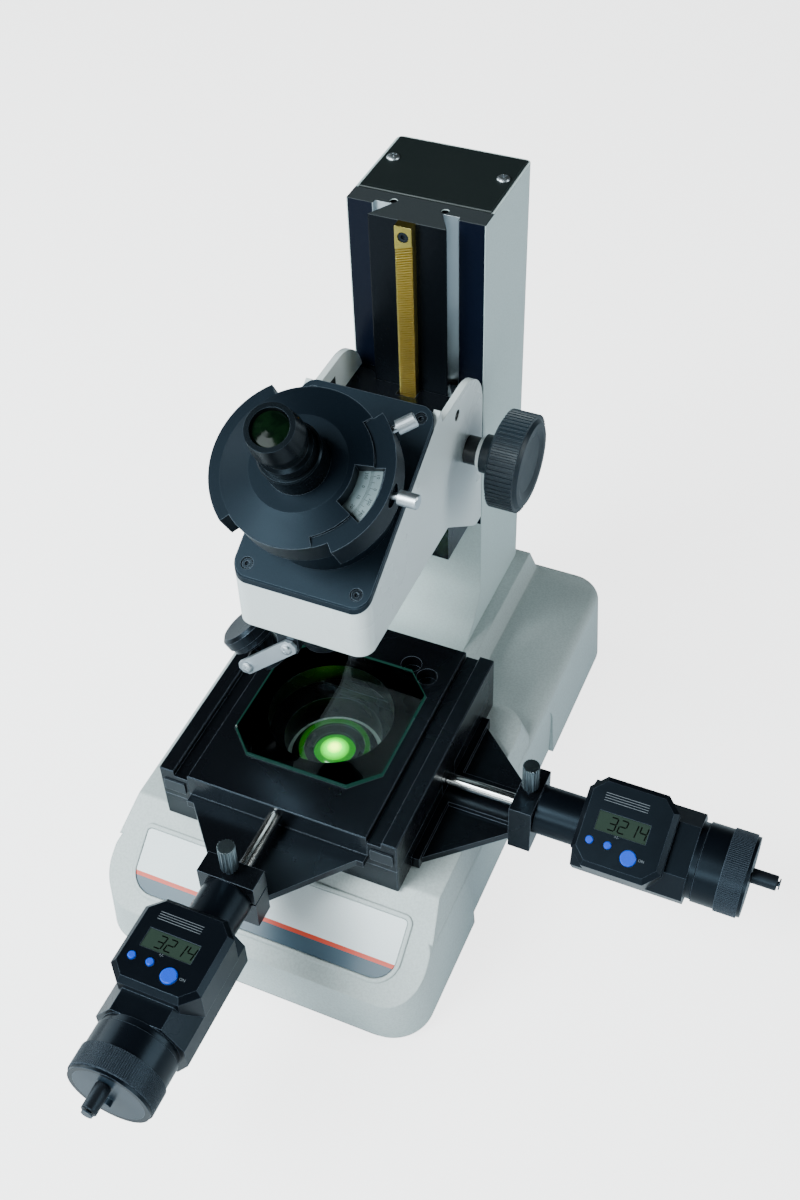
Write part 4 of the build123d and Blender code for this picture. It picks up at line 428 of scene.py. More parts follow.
# %% Metals
finish_material("bright_steel", colour=(0.72, 0.72, 0.70), drift=(0.60, 0.60, 0.59),
                edge_wear_and_highlight=(0.9, 0.9, 0.88), gloss=(0.14, 0.26), grain_size=0.35, bump=0.003,
                metallic=1.0, edge_radius=0.2)
finish_material("screw_steel", colour=(0.62, 0.67, 0.71), drift=(0.50, 0.55, 0.59),
                edge_wear_and_highlight=(0.90, 0.95, 0.98), gloss=(0.36, 0.44), grain_size=0.35, bump=0.004,
                metallic=1.0, edge_radius=0.2)
finish_material("clamp_steel", colour=(0.24, 0.30, 0.33), drift=(0.19, 0.24, 0.27),
                edge_wear_and_highlight=(0.60, 0.68, 0.72), gloss=(0.26, 0.36), grain_size=0.35, bump=0.004,
                metallic=1.0, edge_radius=0.2)
finish_material("plate_steel", colour=(0.42, 0.43, 0.44), drift=(0.36, 0.37, 0.38),
                edge_wear_and_highlight=(0.6, 0.6, 0.6), gloss=(0.35, 0.5), grain_size=0.8, bump=0.01,
                metallic=1.0)
finish_material("brass", colour=(0.52, 0.42, 0.10), drift=(0.42, 0.33, 0.08),
                edge_wear_and_highlight=(0.95, 0.85, 0.45), gloss=(0.28, 0.42), grain_size=0.4, bump=0.006,
                metallic=1.0, edge_radius=0.12)
finish_material("disc_grey", colour=(0.018, 0.032, 0.048), drift=(0.015, 0.027, 0.041),
                edge_wear_and_highlight=(0.14, 0.18, 0.22), gloss=(0.30, 0.40), grain_size=0.3, bump=0.004,
                metallic=0.3, shine=0.35)
print("finishes:", len(finishes))

# %% [markdown]
# ### Scale, displays and print
# The angle scale is printed black on blue grey under its window. The displays are dark grey-green
# liquid crystal panels with nearly black bars, and the lines above them are pale print. The lens
# of the eyepiece is coated and looks almost black, with a touch of green.

# %% Scale, displays and print
finish_material("scale_face", colour=(0.20, 0.27, 0.29), drift=(0.18, 0.245, 0.265),
                edge_wear_and_highlight=(0.3, 0.36, 0.38), gloss=(0.3, 0.4), grain_size=0.5, bump=0.003)
finish_material("scale_ink", colour=(0.004, 0.006, 0.008), drift=(0.006, 0.008, 0.010),
                edge_wear_and_highlight=(0.01, 0.012, 0.015), gloss=(0.4, 0.5), grain_size=0.3, bump=0.001,
                shine=0.2)
finish_material("lcd_panel", colour=(0.026, 0.042, 0.032), drift=(0.023, 0.038, 0.029),
                edge_wear_and_highlight=(0.05, 0.07, 0.05), gloss=(0.16, 0.22), grain_size=0.4, bump=0.001,
                shine=0.15)
finish_material("lcd_ink", colour=(0.0005, 0.0008, 0.0006), drift=(0.0008, 0.001, 0.0008),
                edge_wear_and_highlight=(0.001, 0.0015, 0.001), gloss=(0.3, 0.4), grain_size=0.3, bump=0.001,
                shine=0.02)
finish_material("eye_glass", colour=(0.002, 0.008, 0.003), drift=(0.001, 0.004, 0.002),
                edge_wear_and_highlight=(0.01, 0.02, 0.01), gloss=(0.10, 0.14), grain_size=6.0, bump=0.0,
                shine=0.06)
finish_material("face_print", colour=(0.20, 0.23, 0.26), drift=(0.17, 0.20, 0.23),
                edge_wear_and_highlight=(0.25, 0.28, 0.3), gloss=(0.4, 0.5), grain_size=0.2, bump=0.001)
print("finishes:", len(finishes))

# %% [markdown]
# ## Glass
# The stage plate and the prism are clear glass. Transmission makes a smooth solid clear, and the
# smudge group makes its gloss drift, as wiped glass does. Thick plate looks green at its cut sides
# only. That green could come from absorption inside, but a faint glow where the surface stands
# upright needs no bounces and stays the same from every side.

# %% Clear glass
def glass_material(name, tint, roughness, ior):
    """Clear glass with a tint, a lowest and highest roughness, and how much it bends light."""
    material = bpy.data.materials.new(name)
    material.use_nodes = True
    tree = material.node_tree
    shader = tree.nodes["Principled BSDF"]
    shader.inputs["Base Color"].default_value = (*tint, 1.0)
    shader.inputs["Transmission Weight"].default_value = 1.0
    shader.inputs["IOR"].default_value = ior
    wiped = place_group(tree, smudge, Size_mm=25.0, Low=roughness[0], High=roughness[1])
    tree.links.new(wiped.outputs["Roughness"], shader.inputs["Roughness"])
    finishes[name] = material
    return material


plate_glass = glass_material("stage_glass", tint=(0.90, 0.99, 0.95), roughness=(0.0, 0.03),
                             ior=1.5)
glass_material("lens_glass", tint=(0.80, 0.98, 0.85), roughness=(0.0, 0.02), ior=1.6)
print("finishes:", len(finishes))

# %% Painted green glow on the cut sides of the stage glass
flat_limit = 0.85
cut_side_glow_colour = (0.010, 0.055, 0.042, 1.0)
dark = (0.0, 0.0, 0.0, 1.0)
plate_tree = plate_glass.node_tree
plate_shader = plate_tree.nodes["Principled BSDF"]
slant = split_axes(plate_tree, coordinates(plate_tree, "Normal"))["Z"]
flatness = math_node(plate_tree, "ABSOLUTE", slant)
on_flat = math_node(plate_tree, "GREATER_THAN", flatness, flat_limit)
# Painted light: where the surface stands upright, the plate glows faint green by itself instead of
# carrying light through the glass.
side_glow = mix_node(plate_tree, on_flat, cut_side_glow_colour, dark)
plate_tree.links.new(side_glow, plate_shader.inputs["Emission Color"])
plate_shader.inputs["Emission Strength"].default_value = 1.0
print("glass nodes:", len(plate_tree.nodes))

# %% [markdown]
# ## The lit lens
# The contour lamp is on in the photograph: its lens is brightest in the middle and turns from
# yellow green to nearly black at the rim. A lamp inside would need clear glass and many rays. The
# lens glows by itself instead, and the glow follows the distance from the optical axis.

# %% Lit lens
lens_radius = 13 * mm
lens_glow = 9.0
core_share = 0.14
halo_share = 0.38
rim_share = 0.72
lit_lens = bpy.data.materials.new("lit_lens")
lit_lens.use_nodes = True
finishes["lit_lens"] = lit_lens
lens_tree = lit_lens.node_tree
lens_shader = lens_tree.nodes["Principled BSDF"]
lens_shader.inputs["Base Color"].default_value = (0.05, 0.2, 0.02, 1.0)
lens_shader.inputs["Roughness"].default_value = 0.08
lens_shader.inputs["Emission Strength"].default_value = lens_glow
flatten = add_node(lens_tree, "ShaderNodeVectorMath", operation="MULTIPLY")
flatten.inputs[1].default_value = (1.0, 1.0, 0.0)
lens_tree.links.new(coordinates(lens_tree, "Object"), flatten.inputs[0])
from_axis = add_node(lens_tree, "ShaderNodeVectorMath", operation="LENGTH")
lens_tree.links.new(flatten.outputs[0], from_axis.inputs[0])
glow = add_node(lens_tree, "ShaderNodeValToRGB")
core, rim = glow.color_ramp.elements
core.position = core_share
core.color = (0.62, 1.0, 0.02, 1.0)
rim.position = rim_share
rim.color = (0.0, 0.03, 0.0, 1.0)
halo = glow.color_ramp.elements.new(halo_share)
halo.color = (0.01, 0.42, 0.0, 1.0)
share = math_node(lens_tree, "DIVIDE", from_axis.outputs["Value"], lens_radius)
lens_tree.links.new(share, glow.inputs["Fac"])
lens_tree.links.new(glow.outputs["Color"], lens_shader.inputs["Emission Color"])
print("lit lens glows out to", round(rim_share * lens_radius / mm, 1), "mm")

# %% [markdown]
# ## Bands and fields
# Some solids carry more than one finish: the nameplate has printed bands, the column is painted
# except where it is ground, and the knob has a white washer. Their faces could be split and given
# a second material slot, but the meshes stay as they are. Object coordinates tell the shader where
# a point of the solid lies, so a box mask can put a second finish inside known limits.

# %% Box mask
def box_mask(tree, x=(None, None), y=(None, None), z=(None, None)):
    """1 between the limits of each axis in metres, 0 outside; None leaves that end open."""
    axes = split_axes(tree, coordinates(tree, "Object"))
    mask = None
    for axis, (bottom, top) in zip(axes, (x, y, z)):
        for operation, limit in (("GREATER_THAN", bottom), ("LESS_THAN", top)):
            if limit is None:
                continue
            inside = math_node(tree, operation, axis, limit)
            mask = inside if mask is None else math_node(tree, "MULTIPLY", mask, inside)
    return mask


print("mask helper ready")

# %% Second finishes
def paint_over(material, colour, roughness, metallic=0.0, **limits):
    """Lay a second finish over a material between the limits of x, y and z."""
    tree = material.node_tree
    shader = tree.nodes["Principled BSDF"]
    mask = box_mask(tree, **limits)
    layers = {"Base Color": (*colour, 1.0), "Roughness": roughness, "Metallic": metallic}
    for label, over in layers.items():
        socket = shader.inputs[label]
        below = socket.links[0].from_socket if socket.links else socket.default_value
        kind = "RGBA" if label == "Base Color" else "FLOAT"
        tree.links.new(mix_node(tree, mask, below, over, kind), socket)


def finish_copy(source, name):
    """Copy of a finish under a name of its own."""
    material = finishes[source].copy()
    material.name = name
    finishes[name] = material
    return material


print("finish helpers ready")

# %% [markdown]
# ### Printed nameplate
# The sloping plate on the base is silver above, with a thin red stripe and a dark band below. Two
# layers by height print it: the red reaches all the way down, and the dark band covers its end.

# %% Printed nameplate
stripe_top = 54.9 * mm
stripe_bottom = 53.3 * mm
plate = finish_material("nameplate_print", colour=(0.90, 0.98, 1.0), drift=(0.87, 0.95, 0.97),
                        edge_wear_and_highlight=(0.95, 1.0, 1.0), gloss=(0.28, 0.38), grain_size=0.8,
                        bump=0.004, edge_share=0.2)
paint_over(plate, colour=(0.72, 0.055, 0.02), roughness=0.35, z=(None, stripe_top))
paint_over(plate, colour=(0.055, 0.10, 0.14), roughness=0.3, z=(None, stripe_bottom))
print("red stripe:", round((stripe_top - stripe_bottom) / mm, 2), "mm high")

# %% [markdown]
# ### Painted and ground column
# The column is one casting. It is painted outside but ground on its front, where the head slides:
# the guide faces are bright, the outer strips and the front of the dovetail dark. The paint and
# the metals meet at known places, so layers are enough, each one laid over those before it.

# %% Ground front of the column
ground_half = 40.4 * mm
ground_depth = 146.0 * mm
ground_bottom = 170.5 * mm
strip_inner = 25.5 * mm
strip_depth = 143.0 * mm
dovetail_half = 23.5 * mm
dovetail_depth = 131.8 * mm
column_paint = finish_material("column_paint", colour=(0.61, 0.72, 0.715),
                               drift=(0.57, 0.67, 0.665), edge_wear_and_highlight=(0.74, 0.82, 0.82),
                               gloss=(0.36, 0.46), grain_size=1.1, bump=0.06, edge_radius=0.8,
                               edge_share=0.3, shine=0.1)
paint_over(column_paint, colour=(0.58, 0.63, 0.66), roughness=0.32, metallic=1.0,
           x=(-ground_half, ground_half), y=(None, ground_depth), z=(ground_bottom, None))
paint_over(column_paint, colour=(0.006, 0.008, 0.011), roughness=0.25, metallic=0.5,
           x=(-dovetail_half, dovetail_half), y=(None, dovetail_depth), z=(ground_bottom, None))
for strip in ((-ground_half, -strip_inner), (strip_inner, ground_half)):
    paint_over(column_paint, colour=(0.003, 0.005, 0.013), roughness=0.3, x=strip,
               y=(None, strip_depth), z=(ground_bottom, None))
print("ground front:", round(2 * ground_half / mm, 1), "mm wide")

# %% Upper end of the column, with painted shade in the bores of its two tapped holes
end_depth = 155.0 * mm
end_bottom = 386.2 * mm
tapped_x = 15.2 * mm
tapped_y = 148.4 * mm
tapped_reach = 2.3 * mm
tapped_bottom = 372.0 * mm
tapped_top = 385.7 * mm
paint_over(column_paint, colour=(0.045, 0.052, 0.056), roughness=0.4, metallic=0.3,
           y=(None, end_depth), z=(end_bottom, None))
# Painted shade: the walls inside the two tapped holes are coloured near black, where shade falls in
# them.
for middle_x in (-tapped_x, tapped_x):
    paint_over(column_paint, colour=(0.004, 0.005, 0.006), roughness=0.6,
               x=(middle_x - tapped_reach, middle_x + tapped_reach),
               y=(tapped_y - tapped_reach, tapped_y + tapped_reach), z=(tapped_bottom, tapped_top))
print("column nodes:", len(column_paint.node_tree.nodes))

# %% [markdown]
# ### Second finishes of the smaller parts
# The pinion shaft is bright with a blackened stop collar. Inside the bore through the side of the
# head, shade is painted near black. The knob has a white washer beside its dark collar, and the
# pivot screw at the front of the surface lamp is steel.

# %% Shaft, head, knob and surface lamp
collar_start = 40.5 * mm
paint_over(finish_copy("screw_steel", "pinion_steel"), colour=(0.010, 0.012, 0.015),
           roughness=0.35, x=(collar_start, None))
bore_y = 102.7 * mm
bore_z = 288.2 * mm
bore_reach = 3.6 * mm
head_side = 40.6 * mm
bore_lip = 0.4 * mm
# Painted shade inside the bore through the side of the head.
paint_over(finishes["head_paint"], colour=(0.006, 0.007, 0.008), roughness=0.6,
           x=(None, head_side - bore_lip), y=(bore_y - bore_reach, bore_y + bore_reach),
           z=(bore_z - bore_reach, bore_z + bore_reach))
washer_start = 48.5 * mm
washer_end = 51.6 * mm
knob = finish_material("knob_black", colour=(0.014, 0.024, 0.033), drift=(0.011, 0.019, 0.027),
                       edge_wear_and_highlight=(0.09, 0.12, 0.15), gloss=(0.36, 0.48), grain_size=0.5,
                       bump=0.02, shine=0.3)
paint_over(knob, colour=(0.85, 0.88, 0.88), roughness=0.3, x=(washer_start, washer_end))
pivot_front = -26.6 * mm
paint_over(finish_copy("stage_black", "lamp_black"), colour=(0.55, 0.60, 0.64), roughness=0.5,
           metallic=1.0, y=(None, pivot_front))
print("finishes:", len(finishes))

# %% [markdown]
# ### Green light on the lamp's ring
# The lit lens throws green light on the ring round it. A few samples per pixel would leave that
# light speckled, so the top of the ring also glows faintly by itself.

# %% Lit ring
ring_bottom = 89.5 * mm
lit_ring = finish_copy("stage_black", "lit_ring")
ring_tree = lit_ring.node_tree
ring_shader = ring_tree.nodes["Principled BSDF"]
ring_mask = box_mask(ring_tree, z=(ring_bottom, None))
ring_glow = mix_node(ring_tree, ring_mask, dark, (0.006, 0.10, 0.0, 1.0))
ring_tree.links.new(ring_glow, ring_shader.inputs["Emission Color"])
ring_shader.inputs["Emission Strength"].default_value = 1.0
print("finishes:", len(finishes))

# %% [markdown]
# ## Dressing the solids
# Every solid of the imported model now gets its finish. Materials could be dragged on one by one, but
# a list of names shows at a glance what wears what. The two micrometers are alike, so one loop
# names the parts of both. The solids keep their shapes and places; only their slots change.

# %% Which solid wears which finish
finish_of = {
    "base_casting": "stand_paint", "nameplate": "nameplate_print", "bottom_plate": "plate_steel",
    "rubber_feet": "rubber", "power_inlet": "moulded_black", "power_switch": "moulded_black",
    "dimmer_knob": "moulded_black", "contour_lamp": "lit_ring", "collector_lens": "lit_lens",
    "column": "column_paint", "column_cover": "cover_grey", "column_screws": "screw_steel",
    "rack": "brass", "stage_base": "stage_black", "saddle": "stage_black",
    "guide_covers": "guide_grey", "top_plate": "stage_black", "stage_glass": "stage_glass",
    "right_bracket": "stage_black", "front_bracket": "stage_black",
    "right_clamp_screw": "clamp_steel", "front_clamp_screw": "clamp_steel",
    "carriage": "stage_black", "gib": "bright_steel", "head_housing": "head_paint",
    "head_cover": "slate_enamel", "head_cover_screws": "stage_black", "pinion_shaft": "pinion_steel",
    "focus_knob": "knob_black", "protractor_base": "dial_enamel", "angle_scale": "scale_face",
    "protractor_housing": "dial_enamel", "vernier_clamp_screw": "screw_steel",
    "dial_lock_screw": "screw_steel", "eyepiece_tube": "eye_black", "eyepiece": "eye_black",
    "eye_lens": "eye_glass", "prism": "lens_glass", "objective": "stage_black",
    "lamp_lug": "stage_black", "lamp_arm": "screw_steel", "surface_lamp": "lamp_black",
}
for side in ("right", "front"):
    finish_of[side + "_micrometer_body"] = "meter_black"
    finish_of[side + "_display"] = "lcd_panel"
    finish_of[side + "_spindle"] = "bright_steel"
    finish_of[side + "_thimble"] = "meter_black"
    finish_of[side + "_end_disc"] = "disc_grey"
    finish_of[side + "_crank_handle"] = "moulded_black"
    for button in ("preset", "sign", "zero"):
        finish_of[side + "_" + button + "_button"] = "button_blue"
print("finishes worn:", len(set(finish_of.values())), "of", len(finishes))

# %% Dress the solids
def dress(piece, material):
    """Give a piece one material all over."""
    piece.data.materials.clear()
    piece.data.materials.append(material)


for name, finish in finish_of.items():
    dress(nodes[name], finishes[finish])
print("dressed", len(finish_of), "nodes, left", sorted(set(nodes) - set(finish_of)))

# %% [markdown]
# ## Small pieces
# Digits, marks, ridges and screws are too fine for the solids. Each small piece is shaped flat in
# the XY plane, then laid on its face. It could be turned and moved by hand, but a matrix made from
# the face's middle, reading direction and normal puts it there exactly. What repeats is modelled
# once and copied, and every copy gets a mesh of its own.

# %% Matrices of faces and turns
def face_matrix(place, across, normal):
    """Matrix of a flat face from its middle, its reading direction and its normal."""
    across = Vector(across).normalized()
    normal = Vector(normal).normalized()
    upward = normal.cross(across)
    turned = Matrix((across, upward, normal)).transposed().to_4x4()
    return Matrix.Translation(Vector(place)) @ turned


def spin(angle, axis="Z"):
    """Matrix of a turn about an axis."""
    return Matrix.Rotation(angle, 4, axis)


print("an upward face moves nothing:", face_matrix((0, 0, 0), (1, 0, 0), (0, 0, 1)).is_identity)

# %% Selecting, placing, copying and joining
def select_only(*pieces):
    """Select just these pieces, the last one active."""
    bpy.ops.object.select_all(action="DESELECT")
    for piece in pieces:
        piece.select_set(True)
        bpy.context.view_layer.objects.active = piece


def fix_in_place(piece, matrix):
    """Move a piece to its place and bake the move into its mesh."""
    piece.matrix_world = matrix @ piece.matrix_world
    select_only(piece)
    bpy.ops.object.transform_apply(location=True, rotation=True, scale=True)


def copy_piece(piece, name, matrix):
    """Copy of a piece with its own mesh, moved by a matrix that is baked into the mesh."""
    twin = piece.copy()
    twin.data = piece.data.copy()
    twin.name = name
    bpy.context.scene.collection.objects.link(twin)
    fix_in_place(twin, matrix)
    return twin


def join_pieces(pieces, name):
    """One piece from several."""
    select_only(*pieces)
    bpy.ops.object.join()
    joined = bpy.context.object
    joined.name = name
    return joined


def remove_patterns(*patterns):
    """Delete the pieces that were only copied from."""
    for pattern in patterns:
        bpy.data.objects.remove(pattern)


print("placing helpers ready")

# %% [markdown]
# ### Bars, rings and lettering
# Three shapes return in most of the small pieces. A bar is a cube whose edges are softened, since
# moulded and printed marks have no sharp corners. A ring is a circle widened in its plane and then
# raised. A number is a text object, turned into a mesh so that it can be joined with its marks.

# %% Soft bar
def soft_bar(name, length, width, height, softness):
    """Bar lying along X with its underside at zero and softened edges."""
    bpy.ops.object.select_all(action="DESELECT")
    middle = (0, 0, height / 2)
    bpy.ops.mesh.primitive_cube_add(size=1, location=middle, scale=(length, width, height))
    bar = bpy.context.object
    bar.name = name
    bpy.ops.object.transform_apply(location=True, rotation=True, scale=True)
    bpy.ops.object.mode_set(mode="EDIT")
    bpy.ops.mesh.select_all(action="SELECT")
    bpy.ops.mesh.bevel(offset=softness, segments=1, affect="EDGES")
    bpy.ops.object.mode_set(mode="OBJECT")
    return bar


print("bar helper ready")

# %% Flat ring
def flat_ring(name, inner, outer, height, corners):
    """Flat ring round the origin: a circle widened in its plane, then raised."""
    bpy.ops.object.select_all(action="DESELECT")
    bpy.ops.mesh.primitive_circle_add(vertices=corners, radius=inner, fill_type="NOTHING")
    ring = bpy.context.object
    ring.name = name
    bpy.ops.object.mode_set(mode="EDIT")
    bpy.ops.mesh.select_all(action="SELECT")
    bpy.ops.mesh.extrude_region_move()
    bpy.ops.transform.resize(value=(outer / inner, outer / inner, 1))
    bpy.ops.mesh.select_all(action="SELECT")
    bpy.ops.mesh.extrude_region_move(TRANSFORM_OT_translate={"value": (0, 0, height)})
    bpy.ops.mesh.select_all(action="SELECT")
    bpy.ops.mesh.normals_make_consistent(inside=False)
    bpy.ops.object.mode_set(mode="OBJECT")
    return ring


print("ring helper ready")

# %% Lettering
def lettering(name, words, size, thickness, material):
    """Flat number or sign, centred on the origin, as a mesh."""
    bpy.ops.object.select_all(action="DESELECT")
    bpy.ops.object.text_add(location=(0, 0, 0))
    text = bpy.context.object
    text.name = name
    text.data.body = words
    text.data.size = size
    text.data.extrude = thickness
    text.data.resolution_u = 2
    text.data.align_x = "CENTER"
    text.data.align_y = "CENTER"
    bpy.ops.object.convert(target="MESH")
    text = bpy.context.object
    dress(text, material)
    return text


print("lettering helper ready")

# %% [markdown]
# ## Digital displays
# Each display shows four digits made of seven bars. The digits could be text, but no plain font has
# their gaps and slant, so one bar is modelled and copied. The right display leans towards the
# operator and belongs to the base; the front one is level and travels with the stage.

# %% Display faces
display_tilt = radians(28)
display_far = 112.5 * mm
display_rise = 28 * mm
half_stage = 76 * mm
right_axis_height = 97.5 * mm
front_axis_height = 117.5 * mm
right_normal = Vector((0, -sin(display_tilt), cos(display_tilt)))
right_axis = Vector((half_stage + display_far, 0, right_axis_height))
front_place = (0, -half_stage - display_far, front_axis_height + display_rise)
display_faces = {
    "right": face_matrix(right_axis + right_normal * display_rise, (1, 0, 0), right_normal),
    "front": face_matrix(front_place, (1, 0, 0), (0, 0, 1)),
}
display_body = {"right": "base", "front": "x_slide"}
for side, face in display_faces.items():
    print(side, "display at", [round(v, 4) for v in face.translation])

# %% Pattern of a bar
digit_height = 7.4 * mm
digit_width = 4.0 * mm
bar_length = digit_width * 0.86
bar_width = 0.75 * mm
ink_height = 0.05 * mm
ink_softness = 0.02 * mm
bar = soft_bar("digit_bar", bar_length, bar_width, ink_height, ink_softness)
dress(bar, finishes["lcd_ink"])
print("bar:", [round(v / mm, 2) for v in bar.dimensions], "mm")

# %% Places of the seven bars
digit_step = 5.9 * mm
digit_slant = 0.12
digits_right_edge = 12.0 * mm
panel_top = -0.4 * mm
window_middle = Vector((-1.5 * mm, 0.8 * mm, panel_top))
lit_bars = {"3": "abcdg", "2": "abdeg", "1": "bc", "4": "bcfg"}
half_up = digit_height / 2
half_across = digit_width / 2
bar_places = {
    "a": (0, half_up, 0), "g": (0, 0, 0), "d": (0, -half_up, 0),
    "b": (half_across, half_up / 2, 90), "c": (half_across, -half_up / 2, 90),
    "f": (-half_across, half_up / 2, 90), "e": (-half_across, -half_up / 2, 90),
}
print("bars of a digit:", len(bar_places))

# %% Digits on both displays
def digit_bars(digit, middle_x, face, name):
    """Bars of one digit, laid on a display face."""
    bars = []
    for letter in lit_bars[digit]:
        x, y, angle = bar_places[letter]
        local = Vector((middle_x + x + y * digit_slant, y, 0)) + window_middle
        leaning = spin(radians(angle) - (digit_slant if angle else 0))
        place = face @ Matrix.Translation(local) @ leaning
        bars.append(copy_piece(bar, name + "_" + letter, place))
    return bars


for side, face in display_faces.items():
    pieces = []
    for index, digit in enumerate(reversed("3214")):
        middle_x = digits_right_edge - index * digit_step
        pieces += digit_bars(digit, middle_x, face, side + "_digit")
    reading = join_pieces(pieces, side + "_display_digits")
    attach(reading, display_body[side])
remove_patterns(bar)
print("digits on", len(display_faces), "displays")

# %% [markdown]
# ### Printed lines and signs
# Fine lines are printed above the window, and plain signs stand beside two of the buttons. They
# could be a picture on the face, but thin raised print stays sharp at any zoom and holds no pixels.

# %% Printed lines and signs
line_count = 4
line_length = 25.5 * mm
line_width = 0.3 * mm
line_step = 1.45 * mm
line_lowest = 12.7 * mm
line_middle_x = -3.2 * mm
print_height = 0.04 * mm
print_softness = 0.015 * mm
on_size = 2.2 * mm
plus_minus_size = 2.4 * mm
sign_thickness = 0.02 * mm
line = soft_bar("face_line", line_length, line_width, print_height, print_softness)
dress(line, finishes["face_print"])
on_sign = lettering("on_sign", "ON", on_size, sign_thickness, finishes["face_print"])
plus_minus = lettering("plus_minus", "+/-", plus_minus_size, sign_thickness,
                       finishes["face_print"])
on_place = Vector((14.0 * mm, -14.2 * mm, sign_thickness))
plus_minus_place = Vector((-3.0 * mm, -5.9 * mm, sign_thickness))
for side, face in display_faces.items():
    pieces = []
    for index in range(line_count):
        local = Matrix.Translation((line_middle_x, line_lowest + index * line_step, 0))
        pieces.append(copy_piece(line, side + "_line", face @ local))
    for sign, place in ((on_sign, on_place), (plus_minus, plus_minus_place)):
        pieces.append(copy_piece(sign, side + "_sign", face @ Matrix.Translation(place)))
    printed = join_pieces(pieces, side + "_display_print")
    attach(printed, display_body[side])
remove_patterns(line, on_sign, plus_minus)
print("lines on each display:", line_count)

# %% [markdown]
# ## Angle scale
# The scale under the window is divided into degrees all the way round, with plain numbers on both
# sides of the line of marks. It belongs to the head, so the ring turns round it. A drawn picture
# could be laid on the disc, but marks and numbers made as thin pieces stay crisp in close views.

# %% Place of the scale
head_tilt = radians(30)
cover_front_y = -26.1 * mm
cover_front_z = 252.7 * mm
dial_distance = 52.6 * mm
scale_height = 48.5 * mm
up_slope = Vector((0, cos(head_tilt), sin(head_tilt)))
dial_axis = Vector((0, -sin(head_tilt), cos(head_tilt)))
dial_foot = Vector((0, cover_front_y, cover_front_z)) + up_slope * dial_distance
scale_face = face_matrix(dial_foot + dial_axis * scale_height, (1, 0, 0), dial_axis)
print("middle of the scale:", [round(v, 4) for v in scale_face.translation])

# %% Scale marks
arc_radius = 35.6 * mm
mark_length = 1.6 * mm
mark_width = 0.16 * mm
long_mark_length = 3.0 * mm
long_mark_width = 0.20 * mm
mark_height = 0.03 * mm
mark_softness = 0.01 * mm
mark = soft_bar("scale_mark", mark_length, mark_width, mark_height, mark_softness)
long_mark = soft_bar("scale_long_mark", long_mark_length, long_mark_width, mark_height,
                     mark_softness)
for pattern in (mark, long_mark):
    dress(pattern, finishes["scale_ink"])
scale_pieces = []
for degree in range(360):
    pattern = long_mark if degree % 5 == 0 else mark
    outward = Matrix.Translation((arc_radius + pattern.dimensions.x / 2, 0, 0))
    place = scale_face @ spin(radians(degree)) @ outward
    scale_pieces.append(copy_piece(pattern, "scale_mark_copy", place))
remove_patterns(mark, long_mark)
print("scale marks:", len(scale_pieces))

# %% Scale numbers
number_size = 2.5 * mm
number_thickness = 0.01 * mm
number_height = 0.015 * mm
outer_numbers = 39.6 * mm
inner_numbers = 33.2 * mm
for angle in range(0, 360, 10):
    for radius, shown in ((outer_numbers, angle), (inner_numbers, (360 - angle) % 360)):
        number = lettering("scale_number", str(shown), number_size, number_thickness,
                           finishes["scale_ink"])
        upright = Matrix.Translation((radius, 0, number_height)) @ spin(radians(-90))
        fix_in_place(number, scale_face @ spin(radians(angle)) @ upright)
        scale_pieces.append(number)
marks = join_pieces(scale_pieces, "scale_marks")
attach(marks, "head")
print("marks and numbers:", len(marks.data.polygons), "faces")

# %% Arc line under the marks
arc_width = 0.07 * mm
arc_corners = 240
arc = flat_ring("scale_arc", arc_radius - arc_width, arc_radius, mark_height, arc_corners)
dress(arc, finishes["scale_ink"])
fix_in_place(arc, scale_face)
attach(arc, "head")
print("arc line:", round(2 * arc_radius / mm, 1), "mm across")

# %% [markdown]
# ## Fine knurl of the thimbles
# The grip of each micrometer drum is rolled with fine ridges. The solid carries broad ones, so a
# thin sleeve goes over them: a flat ring raised along the drum, with one small ridge copied round.
# Bump alone could draw the ridges, but then the outline of the drum would stay smooth.

# %% Knurled sleeves
grip_start = 13.5 * mm
sleeve_inner = 24.0 * mm
sleeve_outer = 24.34 * mm
sleeve_length = 13.0 * mm
sleeve_corners = 96
ridge_count = 128
ridge_height = 0.22 * mm
ridge_width = 0.8 * mm
ridge_softness = 0.1 * mm
drum_heading = {"right": face_matrix((0, 0, 0), (0, 1, 0), (1, 0, 0)),
                "front": face_matrix((0, 0, 0), (1, 0, 0), (0, -1, 0))}
drum_body = {"right": "right_thimble", "front": "front_thimble"}
sleeve = flat_ring("drum_sleeve", sleeve_inner, sleeve_outer, sleeve_length, sleeve_corners)
ridge = soft_bar("drum_ridge", sleeve_length, ridge_width, ridge_height, ridge_softness)
along_drum = Matrix.Translation((sleeve_outer, 0, sleeve_length / 2)) @ spin(pi / 2, "Y")
fix_in_place(ridge, along_drum)
for side, heading in drum_heading.items():
    low, high = (Vector(corner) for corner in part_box(side + "_thimble"))
    outward = heading.to_3x3() @ Vector((0, 0, 1))
    half_drum = abs((high - low).dot(outward)) / 2
    middle = (low + high) / 2
    start = Matrix.Translation(middle + outward * (grip_start - half_drum)) @ heading
    pieces = [copy_piece(sleeve, side + "_sleeve", start)]
    for index in range(ridge_count):
        place = start @ spin(2 * pi * index / ridge_count)
        pieces.append(copy_piece(ridge, "drum_ridge_copy", place))
    knurl = join_pieces(pieces, side + "_thimble_knurl")
    dress(knurl, finishes["meter_black"])
    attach(knurl, drum_body[side])
remove_patterns(sleeve, ridge)
print("knurl ridges:", ridge_count, "on each drum")

# %% [markdown]
# ## Pan head screws
# Two screws hold the column cover and two more join the arm of the surface lamp. They have low
# domed heads with a cross recess. A cylinder with a bevel would look cut, so half a ball flattened
# to its rise gives the dome, and two bars cut the cross.

